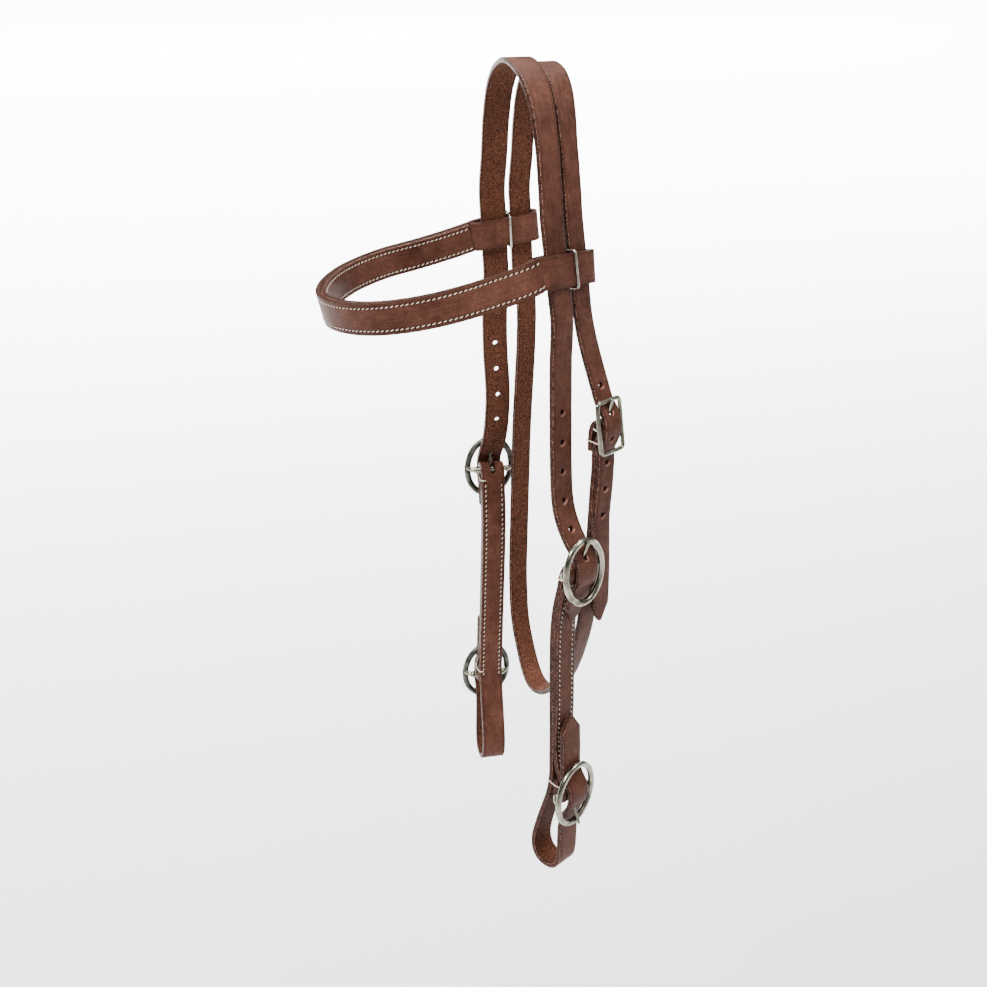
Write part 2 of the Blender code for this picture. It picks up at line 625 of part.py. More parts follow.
def make_cheek(side, label, parts, tools):
    """A cheek piece: one strap, doubled between its two buckles, with the bit loop below."""
    knots, low = cheek_knots()
    matrix = bar_seat(side).matrix()
    route = Route(knots)
    flat = []
    for down_share, out_share in BIT_FLAT_SHARES:
        out = out_share * BIT_LOOP_BREADTH - CHEEK_SET
        flat.append(route.nearest(Vector((out, 0, -CHEEK_LENGTH - down_share * BIT_LOOP_DROP))))
    item = strap(f"{label}_cheek_strap", route, CHEEK_WIDTH, LEATHER, (False, True), parts, matrix, flat)
    angle = tongue_angle(RING_STAND, HALF_RING, RIM_THICK, TONGUE_TIP) - TONGUE_LIFT / 2
    cross = tongue_cross(low, route, angle, 1)
    slot = punch_tool(f"{label}_cheek_slot", route, cross, TONGUE_ROOT + SLOT_CLEARANCE, SLOT_LENGTH,
                      tools, matrix)
    combine(item, slot, "DIFFERENCE")
    eye = EYE_RADIUS + LEATHER / 2
    reach = FOLD_RADIUS + LEATHER / 2 + EYE_MARGIN
    upper = eye_tool(f"{label}_upper_eye", Vector((0, 0, (reach - eye) / 2)), (reach, (reach + eye) / 2),
                     EYE_WIDTH, tools, matrix)
    middle = low.origin + Vector((reach * EYE_SHIFT_SHARE, 0, -(reach - eye) / 2))
    half_sizes = (reach * EYE_DEPTH_SHARE, (reach + eye) / 2)
    lower = eye_tool(f"{label}_lower_eye", middle, half_sizes, EYE_WIDTH, tools, matrix)
    combine(item, upper, "DIFFERENCE")
    combine(item, lower, "DIFFERENCE")
    tidy(item)


def eye_tool(name, centre, half_sizes, eye_width, tools, matrix):
    """A block that cuts the slot for a tongue's eye out of a fold."""
    bm = bmesh.new()
    bmesh.ops.create_cube(bm, size=1.0)
    wide = eye_width + 2 * SLOT_CLEARANCE
    bmesh.ops.scale(bm, vec=Vector((2 * half_sizes[0], wide, 2 * half_sizes[1])), verts=bm.verts)
    bmesh.ops.translate(bm, vec=centre, verts=bm.verts)
    return hide_tool(add_object(name, bm, tools, None, matrix))


def wire(name, points, radius, closed, collection, material, matrix, sides=2):
    """A round wire through points, as a closed mesh."""
    curve = bpy.data.curves.new(name, "CURVE")
    curve.dimensions = "3D"
    curve.bevel_depth = radius
    curve.bevel_resolution = sides
    curve.use_fill_caps = True
    line = curve.splines.new("POLY")
    line.points.add(len(points) - 1)
    for knot, point in zip(line.points, points):
        knot.co = (*point, 1)
    line.use_cyclic_u = closed
    drawn = bpy.data.objects.new(name + "_line", curve)
    collection.objects.link(drawn)
    drawn.matrix_world = matrix
    bpy.context.view_layer.update()
    mesh = bpy.data.meshes.new_from_object(drawn.evaluated_get(bpy.context.evaluated_depsgraph_get()))
    mesh.name = name
    bm = bmesh.new()
    bm.from_mesh(mesh)
    bmesh.ops.remove_doubles(bm, verts=bm.verts, dist=CLOSE)
    bmesh.ops.recalc_face_normals(bm, faces=bm.faces)
    bm.to_mesh(mesh)
    bm.free()
    item = bpy.data.objects.new(name, mesh)
    collection.objects.link(item)
    item.matrix_world = drawn.matrix_world
    bpy.data.objects.remove(drawn, do_unlink=True)
    mesh.materials.clear()
    if material:
        mesh.materials.append(material)
    smooth(item)
    return item


def smooth(item, angle=35.0):
    item.data.shade_smooth()
    item.data.set_sharp_from_angle(angle=math.radians(angle))


def bar_points(stand, half_width, inner):
    """A bar that is bent forward at both ends to meet the rim."""
    bend = half_width - (half_width - inner) * BAR_BEND_SHARE
    side = [(stand, half_width), (stand * BAR_BEND_SHARE, bend), (0.0, inner)]
    right = [Vector((out, across, 0)) for out, across in side]
    left = [Vector((out, -across, 0)) for out, across in reversed(side)]
    return right + left


def make_oval_frame(name, side, seat, roll, parts, tools):
    """An oval buckle frame: rim, centre bar and the two balls at the bar's ends."""
    roll = math.radians(roll)
    tall, wide = RING_HEIGHT / 2, RING_WIDTH / 2
    bpy.ops.mesh.primitive_torus_add(major_segments=32, minor_segments=8, major_radius=wide,
                                     minor_radius=RIM_WIDTH / 2)
    item = bpy.context.object
    for holder in list(item.users_collection):
        holder.objects.unlink(item)
    parts.objects.link(item)
    item.name = name
    item.data.name = name
    for vertex in item.data.vertices:
        angle = math.atan2(vertex.co.y, vertex.co.x)
        off = math.hypot(vertex.co.x, vertex.co.y) - wide
        normal = Vector((math.cos(angle) / wide, math.sin(angle) / tall)).normalized()
        back = wide * math.cos(angle) + off * normal.x
        up = tall * math.sin(angle) + off * normal.y
        across = (back * math.cos(roll) + up * math.sin(roll)) * side
        lift = up * math.cos(roll) - back * math.sin(roll)
        vertex.co = Vector((RING_STAND + vertex.co.z * RIM_THICK / RIM_WIDTH, across, lift))
    bm = bmesh.new()
    bm.from_mesh(item.data)
    bmesh.ops.recalc_face_normals(bm, faces=bm.faces)
    bm.to_mesh(item.data)
    bm.free()
    item.data.materials.append(nickel(name + "_metal"))
    matrix = seat.matrix()
    item.matrix_world = matrix
    smooth(item, 50.0)
    ball_at = CHEEK_WIDTH / 2 + SEAT_GAP * 2 + BALL_RADIUS
    bar = wire(name + "_bar", bar_points(RING_STAND, wide, ball_at), BAR_RADIUS, False, tools, None, matrix)
    combine(item, hide_tool(bar), "UNION")
    for end in (1, -1):
        bm = bmesh.new()
        bmesh.ops.create_uvsphere(bm, u_segments=10, v_segments=6, radius=BALL_RADIUS)
        bmesh.ops.translate(bm, vec=Vector((0, end * ball_at, 0)), verts=bm.verts)
        ball = hide_tool(add_object(f"{name}_ball_{'a' if end > 0 else 'b'}", bm, tools, None, matrix))
        combine(item, ball, "UNION")
    tidy(item)


def turned(profile, segments):
    """A solid turned about Z from a profile of radius and height."""
    bm = bmesh.new()
    line = [bm.verts.new((radius, 0, height)) for radius, height in profile]
    edges = [bm.edges.new(pair) for pair in zip(line, line[1:])]
    bmesh.ops.spin(bm, geom=line + edges, cent=(0, 0, 0), axis=(0, 0, 1), angle=math.tau,
                   steps=segments, use_merge=True)
    bmesh.ops.remove_doubles(bm, verts=bm.verts, dist=CLOSE)
    bmesh.ops.recalc_face_normals(bm, faces=bm.faces)
    return bm


def make_tongue(name, seat, stand, half, thick, bar, eye_radius, way, parts, tools):
    """A tongue whose eye turns on the bar and whose tip rests on the rim.

    way is 1 where it points up and -1 where it points down."""
    angle = math.radians(tongue_angle(stand, half, thick, TONGUE_TIP))
    length = half / math.sin(angle) + TONGUE_OVERHANG
    start = (bar + BAR_CLEARANCE + eye_radius) / 2
    profile = [(0, start), (TONGUE_ROOT, start)]
    for radius_share, left_share in TONGUE_END_SHARES:
        profile.append((TONGUE_TIP * radius_share, length - TONGUE_TIP * left_share))
    profile.append((0, length))
    bm = turned(profile, 10)
    turn = Matrix.Rotation(math.pi / 2 - angle, 3, "Y")
    bmesh.ops.rotate(bm, cent=(0, 0, 0), matrix=turn, verts=bm.verts)
    if way < 0:
        bmesh.ops.rotate(bm, cent=(0, 0, 0), matrix=Matrix.Rotation(2 * angle, 3, "Y"), verts=bm.verts)
    matrix = seat.matrix()
    item = add_object(name, bm, parts, nickel(name + "_metal"), matrix)
    smooth(item)
    rounds = (("eye", eye_radius, EYE_WIDTH, "UNION"),
              ("bore", bar + BAR_CLEARANCE, EYE_WIDTH + 2 * CUT, "DIFFERENCE"))
    for label, radius, width, operation in rounds:
        bm = bmesh.new()
        bmesh.ops.create_cone(bm, cap_ends=True, segments=16, radius1=radius, radius2=radius, depth=width)
        bmesh.ops.rotate(bm, cent=(0, 0, 0), matrix=Matrix.Rotation(math.pi / 2, 3, "X"), verts=bm.verts)
        combine(item, hide_tool(add_object(f"{name}_{label}", bm, tools, None, matrix)), operation)
    tidy(item)


def rounded_rectangle(out, half_across, half_up, corner, steps=3):
    """The corners' points of a rounded rectangle that stands in the plane of across and up."""
    points = []
    for quarter, (y, z) in enumerate(((1, 1), (-1, 1), (-1, -1), (1, -1))):
        for i in range(steps + 1):
            angle = math.pi / 2 * (quarter + i / steps)
            across = y * (half_across - corner) + corner * math.cos(angle)
            up = z * (half_up - corner) + corner * math.sin(angle)
            points.append(Vector((out, across, up)))
    return points


def make_rectangular_frame(parts, tools):
    """The throatlatch's buckle frame: a rectangle of wire with a bar behind its middle."""
    name = "throat_buckle_frame"
    matrix = frame_seat().matrix()
    points = rounded_rectangle(FRAME_STAND, FRAME_WIDTH / 2, HALF_FRAME, FRAME_CORNER)
    item = wire(name, points, FRAME_WIRE, True, parts, nickel(name + "_metal"), matrix)
    inner = THROAT_WIDTH / 2 + SEAT_GAP * 2
    bar = wire(name + "_bar", bar_points(FRAME_STAND, FRAME_WIDTH / 2, inner), FRAME_WIRE, False, tools,
               None, matrix)
    combine(item, hide_tool(bar), "UNION")


def throat_knots():
    """Knots of the throatlatch, from its pointed end up through the buckle, over the poll, down the
    far side, round the throat and up to the buckle's bar."""
    seat = throat_seat()
    upright = seat_on(NEAR, seat.origin, THROAT_TURN, 0.0)
    knots = []
    for down, out, back in reversed(THROAT_TAIL_SHARES):
        knots.append((upright.at(out=out * THROAT_OVER, down=down * THROAT_TIP,
                                 back=back * THROAT_WIDTH), upright.back))
    knots += list(reversed(billet_knots(seat, THROAT_BILLET_SHARES[1:-1], HALF_FRAME, THROAT_OVER,
                                        THROAT_OVER)))
    knots += list(reversed(throat_beside_crown(NEAR)))
    middle = (Vector((0, POLL_OFFSET, LEATHER / 2 - POLL_SAG)), Vector((0, 1, 0)))
    knots.append(middle)
    knots += throat_beside_crown(FAR)
    for out, down, back in reversed(THROAT_SHARES):
        angle = -THROAT_FAR_TURN + (THROAT_TURN + THROAT_FAR_TURN) * (out + 1) / 2
        place = Vector((out * HALF_SPREAD, back * THROAT_BACK, LEATHER / 2 - down * THROAT_DROP))
        knots.append((place, turned_back(NEAR, angle)))
    low_out = -(THROAT_LEATHER + 2 * SEAT_GAP) / 2
    for down, out, back in THROAT_UNDER_SHARES:
        knots.append((upright.at(out=out * low_out, down=down * THROAT_TIP, back=back * THROAT_WIDTH),
                      upright.back))
    leave_out = low_out * THROAT_LEAVE_SHARE
    knots.append((seat.at(out=leave_out, down=THROAT_TURN_BACK), seat.back))
    knots += fold_knots(seat, THROAT_FOLD, THROAT_LEAVE, 0.0, -180.0)
    tail = leave_out - THROAT_LEATHER - PLY_GAP
    knots.append((seat.at(out=tail, down=THROAT_TURN_BACK * THROAT_END_SHARE), seat.back))
    knots.append((seat.at(out=tail, down=THROAT_TURN_BACK), seat.back))
    return knots


def throat_beside_crown(side):
    """Knots of the throatlatch where it lies behind the crown strap, from the poll down."""
    crown = Route(crown_side(side))
    knots = []
    count = len(CROWN_SHARES)
    for i, (out, down) in enumerate(CROWN_SHARES):
        back_share = (NEAR_BACK_SHARES if side == NEAR else FAR_BACK_SHARES)[i]
        height = LEATHER / 2 - down * CROWN_DROP
        target = Vector((side * out * HALF_SPREAD, back_share * CHEEK_BACK, height))
        point, _, across = crown.place(crown.nearest(target))
        part = (i + 1) / (count + 1)
        place = point + across * (POLL_OFFSET + (THROAT_OFFSET - POLL_OFFSET) * part)
        place.x *= 1 - POLL_NARROW * (1 - part)
        place.z -= POLL_SAG * (1 - part)
        knots.append((place, across))
    loop = loop_seat(side)
    for share in (-2, -1, 1, 2):
        knots.append((loop.at(back=THROAT_OFFSET, down=share * STRAIGHT), loop.back))
    return knots


def make_throatlatch(parts, tools):
    """The throatlatch strap with its holes."""
    route = Route(throat_knots())
    item = strap("throatlatch_strap", route, THROAT_WIDTH, THROAT_LEATHER, (True, False), parts)
    seat = throat_seat()
    angle = tongue_angle(FRAME_STAND, HALF_FRAME, 2 * FRAME_WIRE, TONGUE_TIP) - TONGUE_LIFT / 2
    cross = tongue_cross(frame_seat(), route, angle, -1)
    slot = punch_tool("throat_slot", route, cross, TONGUE_ROOT + SLOT_CLEARANCE, SLOT_LENGTH, tools)
    combine(item, slot, "DIFFERENCE")
    for number, i in enumerate(THROAT_HOLES):
        hole = punch_tool(f"throat_hole_{number + 1}", route, cross + i * THROAT_PITCH, HOLE_RADIUS, 0.0,
                          tools)
        combine(item, hole, "DIFFERENCE")
    eye = THROAT_EYE_RADIUS + THROAT_LEATHER / 2
    reach = THROAT_FOLD + THROAT_LEATHER / 2 + EYE_MARGIN
    tool = eye_tool("throat_eye", Vector((0, 0, (reach - eye) / 2)), (reach, (reach + eye) / 2),
                    EYE_WIDTH, tools, seat.matrix())
    combine(item, tool, "DIFFERENCE")
    tidy(item)


def brow_middle():
    """The route half way through the stitched part of the browband."""
    up = Vector((0, -math.sin(math.radians(BROW_TILT)), math.cos(math.radians(BROW_TILT))))
    knots = []
    for (out, forward, down), twist in zip(BROW_SHARES, BROW_TWIST_SHARES):
        place = Vector((out * BROW_HALF_SPAN, -forward * BROW_REACH, LEATHER / 2 - down * BROW_DROP))
        side = NEAR if out > 0 else FAR
        knots.append((place, up.lerp(loop_up(side), twist).normalized()))
    for side in (NEAR, FAR):
        loop = loop_seat(side)
        end = loop.at(back=-LOOP_STITCH, down=LOOP_STITCH * loop_rise(side))
        turn = end - loop.back * SEAM_TURN + loop.down * (SEAM_TURN * math.tan(math.radians(BROW_TILT)))
        ends = [(end, loop_up(side)), (turn, loop_up(side))]
        knots = ends + knots if side == NEAR else knots + list(reversed(ends))
    return Route(knots)


def loop_rise(side):
    """How much the browband rises inside a loop for each length to the back."""
    return math.tan(math.radians(NEAR_LOOP_RISE if side == NEAR else FAR_LOOP_RISE))


def loop_up(side):
    """The direction up the browband inside a loop."""
    loop = loop_seat(side)
    rise = math.atan(loop_rise(side))
    return -loop.down * math.cos(rise) - loop.back * math.sin(rise)


def loop_end(side):
    """How far behind the crown strap's middle the fold of a loop has its own middle."""
    slant = BROW_WIDTH / 2 * abs(loop_rise(side))
    room = LOOP_MID - BROW_LEATHER / 2 - SEAT_GAP
    depth = math.sqrt(max(room ** 2 - (THROAT_LEATHER / 2) ** 2, 0.0))
    return THROAT_OFFSET + THROAT_WIDTH / 2 + slant + KEEPER_ROOM - SEAT_GAP - depth


def brow_loop(side, middle):
    """Knots of one loop, from its end at the lining, round behind the straps and forward outside."""
    loop = loop_seat(side)
    end = loop_end(side)
    front = CHEEK_WIDTH / 2
    knots = []
    inside = ((-BROW_PLY, -LOOP_STITCH),
              (-LOOP_MID * LOOP_IN_SHARES[0], -front - LOOP_OVERLAP * LOOP_IN_SHARES[1]),
              (-LOOP_MID, -front), (-LOOP_MID, 0.0), (-LOOP_MID, end * LOOP_BACK_SHARE))
    for out, back in inside:
        knots.append((out, back))
    for i in range(LOOP_STEPS + 1):
        angle = math.pi / 2 - math.pi * i / LOOP_STEPS
        knots.append((-LOOP_MID * math.sin(angle), end + LOOP_MID * math.cos(angle)))
    outside = ((LOOP_MID, end * LOOP_BACK_SHARE), (LOOP_MID, 0.0), (LOOP_MID, -front),
               (LOOP_MID * LOOP_OUT_SHARES[0], -front - LOOP_OVERLAP * LOOP_OUT_SHARES[1]))
    for out, back in outside:
        knots.append((out, back))
    up, rise = loop_up(side), loop_rise(side)
    knots = [(loop.at(out=out, back=back, down=-back * rise), up) for out, back in knots]
    knots[0] = (knots[0][0], mitre(side, middle))
    return knots


def mitre(side, middle):
    """The direction of the seam between the stitched part and a loop: half way between the two."""
    across = middle.place(0.0 if side == NEAR else middle.length)[2]
    return (across + loop_up(side)).normalized()


def brow_plies(middle):
    """Knots of the browband's outer ply and of its lining, along the stitched part."""
    outer, inner = [], []
    inside = [(i + 0.5) / BROW_STEPS for i in range(1, BROW_STEPS - 1)]
    for share in [0.0, BROW_END_SHARE] + inside + [1.0 - BROW_END_SHARE, 1.0]:
        point, along, across = middle.place(middle.length * share)
        if share in (0.0, 1.0):
            across = mitre(NEAR if share == 0.0 else FAR, middle)
        out = along.cross(across)
        if out.dot(Vector((point.x, point.y, 0))) < 0:
            out = -out
        outer.append((point + out * BROW_PLY, across))
        inner.append((point - out * BROW_PLY, across))
    return outer, inner


def make_browband(parts):
    """The browband's outer ply with its two loops, the lining inside it and the wire keepers."""
    middle = brow_middle()
    outer, inner = brow_plies(middle)
    far_loop = list(reversed(brow_loop(FAR, middle)))
    route = Route(brow_loop(NEAR, middle) + outer + far_loop, square=False)
    strap("browband_outer", route, BROW_WIDTH, BROW_LEATHER, (False, False), parts)
    trim = SEAT_GAP * 2 / (inner[1][0] - inner[0][0]).length
    inner[0] = (inner[0][0].lerp(inner[1][0], trim), inner[0][1])
    inner[-1] = (inner[-1][0].lerp(inner[-2][0], trim), inner[-1][1])
    strap("browband_lining", Route(inner, square=False), BROW_WIDTH, BROW_LEATHER, (False, False), parts)
    for side, label in ((NEAR, "near"), (FAR, "far")):
        make_keeper(side, label, parts)


def make_keeper(side, label, parts):
    """A wire keeper bent round a loop of the browband, between the crown strap and throatlatch."""
    loop = loop_seat(side)
    back = CHEEK_WIDTH / 2 + KEEPER_SPACE / 2
    slope = abs(loop_rise(side))
    half_up = BROW_WIDTH / 2 * math.hypot(1, slope) + KEEPER_WIRE * slope + SEAT_GAP + KEEPER_WIRE
    half_out = LOOP_MID + BROW_LEATHER / 2 + SEAT_GAP + KEEPER_WIRE
    place = Seat(loop.at(back=back, down=-back * loop_rise(side)), loop.out, loop.back, loop.down)
    flat = rounded_rectangle(0.0, half_out, half_up, KEEPER_CORNER)
    points = [Vector((point.y, point.x, point.z)) for point in flat]
    wire(f"{label}_browband_keeper", points, KEEPER_WIRE, True, parts,
         nickel(f"{label}_browband_keeper_metal"), place.matrix())


def build():
    clear_scene()
    parts = new_collection(NAME)
    tools = new_collection("cutters")
    make_crown(parts, tools)
    make_throatlatch(parts, tools)
    make_browband(parts)
    make_rectangular_frame(parts, tools)
    make_tongue("throat_buckle_tongue", frame_seat(), FRAME_STAND, HALF_FRAME, 2 * FRAME_WIRE,
                FRAME_WIRE, THROAT_EYE_RADIUS, 1, parts, tools)
    rolls = {NEAR: (NEAR_UPPER_ROLL, NEAR_LOWER_ROLL), FAR: (FAR_UPPER_ROLL, FAR_LOWER_ROLL)}
    for side, label in ((NEAR, "near"), (FAR, "far")):
        make_cheek(side, label, parts, tools)
        upper, lower = bar_seat(side), lower_bar_seat(side)
        make_oval_frame(f"{label}_upper_buckle_frame", side, upper, rolls[side][0], parts, tools)
        make_oval_frame(f"{label}_lower_buckle_frame", side, lower, rolls[side][1], parts, tools)
        make_tongue(f"{label}_upper_buckle_tongue", upper, RING_STAND, HALF_RING, RIM_THICK, BAR_RADIUS,
                    EYE_RADIUS, 1, parts, tools)
        make_tongue(f"{label}_lower_buckle_tongue", lower, RING_STAND, HALF_RING, RIM_THICK, BAR_RADIUS,
                    EYE_RADIUS, -1, parts, tools)


build()
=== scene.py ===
"""The finished look of a western headstall: leather straps, stitching, holes and plated buckles.

The straps follow the same middle lines as the solids, in metres. The horse faces -Y, its near side
is +X, and the origin lies under the crown strap at the poll."""
import bisect
import math

import bmesh
import bpy
from mathutils import Matrix, Vector


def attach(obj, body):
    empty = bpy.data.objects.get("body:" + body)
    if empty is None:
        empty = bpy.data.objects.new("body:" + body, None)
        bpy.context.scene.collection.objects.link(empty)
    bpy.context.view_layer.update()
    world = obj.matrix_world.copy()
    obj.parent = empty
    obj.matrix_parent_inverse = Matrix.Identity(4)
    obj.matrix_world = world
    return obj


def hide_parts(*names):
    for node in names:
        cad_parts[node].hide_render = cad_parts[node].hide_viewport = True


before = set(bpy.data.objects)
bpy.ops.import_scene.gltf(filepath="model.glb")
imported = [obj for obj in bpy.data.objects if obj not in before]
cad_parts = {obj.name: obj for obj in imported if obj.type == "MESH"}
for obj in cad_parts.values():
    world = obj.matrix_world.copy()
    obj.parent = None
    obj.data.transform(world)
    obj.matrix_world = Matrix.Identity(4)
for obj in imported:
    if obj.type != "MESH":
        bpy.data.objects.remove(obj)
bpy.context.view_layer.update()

NEAR = 1
FAR = -1

# Leather
LEATHER = 0.0036            # thickness of the crown strap and of each ply of a cheek piece
THROAT_LEATHER = 0.0034     # thickness of the throatlatch
BROW_LEATHER = 0.0034       # thickness of each ply of the browband
CHEEK_WIDTH = 0.019         # width of the crown strap and the cheek pieces
THROAT_WIDTH = 0.0159       # width of the throatlatch
BROW_WIDTH = 0.021          # height of the browband
EDGE_ROUND = 0.0007         # rounding of every strap edge
PLY_GAP = 0.0003            # gap between two plies that are stitched together
SEAT_GAP = 0.0003           # gap between pieces that rest on each other
TIP_LENGTH = 0.0125         # length of a strap's pointed end
TIP_FLAT = 0.0026           # width of the blunt end of that point

# How the straps hang
HALF_SPREAD = 0.0815        # poll line to the middle of the crown strap beside the cheek
CROWN_DROP = 0.3225         # poll down to the bars of the upper buckles
CHEEK_LENGTH = 0.1847       # bar of the upper buckle to bar of the lower buckle
BIT_LOOP_DROP = 0.0703      # bar of the lower buckle to the bottom of the bit loop
CHEEK_BACK = 0.0085         # how far behind the poll the cheek pieces hang
POLL_FLAT = 0.010           # straight length of the crown strap over the poll
TURN = {NEAR: 30.0, FAR: 2.0}   # degrees that the straps' outer face is turned to the back
LEAN = {NEAR: 1.2, FAR: -1.4}   # degrees that a cheek piece leans back on its way down

# Where the browband crosses the crown strap and the throatlatch
LOOP_INSET = 0.0066         # how much nearer the poll line the crown strap is there
LOOP_DROP = {NEAR: 0.1208, FAR: 0.1268}   # poll down to the middle of a loop
LOOP_BACK = {NEAR: 0.0036, FAR: 0.0056}   # crown strap's middle behind the poll at a loop
SPLAY = 7.0                 # degrees that the straps spread there on their way down
LOOP_LEAN = 5.0             # degrees that they lean back there
BROW_TILT = 13.3            # degrees that the browband drops to the front
LOOP_RISE = {NEAR: -4.0, FAR: 3.5}   # degrees that a loop rises to the back, against square
BROW_SLIDE = 0.004          # how far the browband can slide up or down the straps
BROW_REACH = 0.1322         # poll line forward to the middle of the browband
BROW_BULGE = 0.0026         # the browband's sides are this much further out than its loops
BROW_DROP = 0.154           # poll down to the middle of the browband in front
LOOP_OVERLAP = 0.0065       # the browband's stitched part stops this far before the crown strap
SEAM_TURN = 0.0036          # last stretch of the stitched part, in line with its loop

# Throatlatch
THROAT_DROP = 0.482         # poll down to the lowest place of the throatlatch
THROAT_BACK = 0.030         # middle of the throatlatch behind the poll
THROAT_BUCKLE_DROP = 0.2267  # poll down to the bar of its buckle
THROAT_BUCKLE_INSET = 0.0040  # its bar is this much nearer the poll line than HALF_SPREAD
THROAT_BUCKLE_BACK = 0.0379  # and that bar is this far behind the poll
THROAT_TURN = 29.0          # degrees that the near part's outer face is turned to the back
THROAT_FAR_TURN = -15.0     # the same on the far side
THROAT_LEAN = 1.0           # degrees that the throatlatch leans back at its buckle
POLL_SPACE = 0.0013         # space between the crown strap and the throatlatch over the poll
POLL_SAG = 0.0030           # the throatlatch lies this much lower there
POLL_NARROW = 0.05          # and its arch is narrower by this share
THROAT_TIP = 0.148          # throatlatch buckle down to the strap's pointed end
THROAT_TURN_BACK = 0.018    # length of the stitched end behind the buckle's bar
THROAT_LEAVE = 28.0         # degrees that the throatlatch leans inward as it leaves that bar

# Oval buckles with a centre bar
RING_HEIGHT = 0.047         # between the middles of the rim's top and bottom
RING_WIDTH = 0.036
RIM_WIDTH = 0.005
RIM_THICK = 0.0042
RING_STAND = 0.0064         # middle of the rim in front of the bar
BAR_RADIUS = 0.002
BAR_CLEARANCE = 0.00035
BALL_RADIUS = 0.0026
BUCKLE_STAND = 0.0147       # bar of the upper buckle outside the crown strap's middle
CHEEK_SET = 0.0127          # the same bar outside the middle of the doubled cheek piece
LOWER_STAND = 0.0071        # bar of the lower buckle outside the middle of the cheek piece
BILLET_RISE = 0.0015        # room between the strap's fold and the strap that passes over it
UPPER_ROLL = {NEAR: -10.0, FAR: 4.0}   # degrees that an upper oval is turned in its own plane
LOWER_ROLL = {NEAR: 12.0, FAR: 8.0}

# Tongues
EYE_RADIUS = 0.0038
EYE_WIDTH = 0.0034
TONGUE_ROOT = 0.0015        # radius of the tongue at its eye
TONGUE_TIP = 0.0011
TONGUE_OVERHANG = 0.0016    # how far the tongue reaches past the middle of the rim
TONGUE_LIFT = 8.0           # degrees that a fastened tongue can lift
SLOT_CLEARANCE = 0.0005
EYE_MARGIN = 0.001          # the slot for an eye runs this far past the strap
EYE_DEPTH_SHARE = 0.9       # depth of the lower fold's slot, share of its fold's reach
EYE_SHIFT_SHARE = 0.25      # and that slot is moved outward by this share of it

# Rectangular buckle of the throatlatch
FRAME_HEIGHT = 0.035
FRAME_WIDTH = 0.0222
FRAME_WIRE = 0.0015
FRAME_STAND = 0.0055
FRAME_CORNER = 0.003
FRAME_TILT = 8.0            # degrees that the rectangle's lower end is tilted outwards
THROAT_RISE = 0.0006
THROAT_EYE_RADIUS = 0.0031

# Wire keepers and holes
KEEPER_WIRE = 0.0009
KEEPER_CORNER = 0.0016
KEEPER_ROOM = 0.00055       # room between the keeper's wire and the straps on both sides of it
HOLE_RADIUS = 0.0018
HOLE_PITCH = 0.0208
THROAT_PITCH = 0.0190
SPARE_HOLES = 5
THROAT_HOLES = (-4, -3, -2, -1, 1)  # holes from the one in use, down the billet first, in pitches

CUT = 0.004                 # how far a cutter runs past what it cuts

# Places along the straps, as shares of the sizes above: out from the poll line, down from the poll
# and back behind it
CROWN_SHARES = ((0.21, 0.0078), (0.39, 0.0267), (0.56, 0.0623), (0.70, 0.1274), (0.805, 0.2190))
CROWN_LOW_SHARES = ((0.985, 0.550), (1.0, 0.670))
BACK_SHARES = {NEAR: (0.03, 0.05, 0.08, 0.12, 0.15), FAR: (0.06, 0.12, 0.18, 0.25, 0.35)}
LOW_BACK_SHARES = {NEAR: (0.66, 0.69), FAR: (0.93, 1.00)}
BAR_BACK_SHARE = {NEAR: 0.93, FAR: 1.06}
TURN_SHARES = (0.35, 0.70, 0.90, 1.0, 1.0)

# Straps at an oval buckle: down from the bar in half ring heights, and out from the bar. The out
# share is of the strap's height over the fold where it is positive, and else of BUCKLE_STAND
UPPER_BILLET_SHARES = (
    (-2.75, -0.99), (-2.15, -0.93), (-1.62, -0.755), (-1.22, -0.47), (-0.90, -0.15),
    (-0.50, 0.58), (-0.24, 0.93), (0.0, 1.0), (0.25, 0.90), (0.60, 0.35), (1.0, 0.03),
    (1.32, -0.14), (1.74, -0.28))
LOWER_BILLET_SHARES = (
    (1.32, -0.04), (1.0, 0.05), (0.64, 0.36), (0.30, 0.87), (0.0, 1.0), (-0.30, 0.91),
    (-0.60, 0.46), (-0.77, 0.235), (-0.96, 0.18), (-1.5, 0.17), (-2.05, 0.13), (-2.80, 0.10))
# The outer ply where it leaves the doubled part for the lower bar: shares as for CHEEK_SHARES
CHEEK_JOIN_SHARES = ((0.924, 0.45), (0.883, 0.71))
# The doubled cheek piece below the upper bar: share of its length, share of CHEEK_SET
CHEEK_SHARES = ((0.087, 0.51), (0.146, 0.725), (0.222, 0.90), (0.303, 0.985), (0.38, 1.0),
                (0.60, 1.0))
# The bit loop: down share of BIT_LOOP_DROP from the lower bar, out share of its own breadth from
# the cheek piece's middle
BIT_LOOP_BREADTH = 0.0255
BIT_IN_SHARES = (
    (-0.10, -0.11), (0.08, -0.22), (0.27, -0.395), (0.44, -0.55), (0.615, -0.695), (0.765, -0.775),
    (0.89, -0.735), (0.965, -0.60))
BIT_FLAT_SHARES = ((1.0, -0.385), (1.0, -0.19))
BIT_OUT_SHARES = ((0.97, 0.01), (0.90, 0.145), (0.785, 0.21), (0.615, 0.232))
STRAIGHT_END = 0.82          # the doubled part's plies are straight down to this share
BIT_TURN_SHARE = 0.060      # length of the stitched end at the lower bar, share of the cheek piece

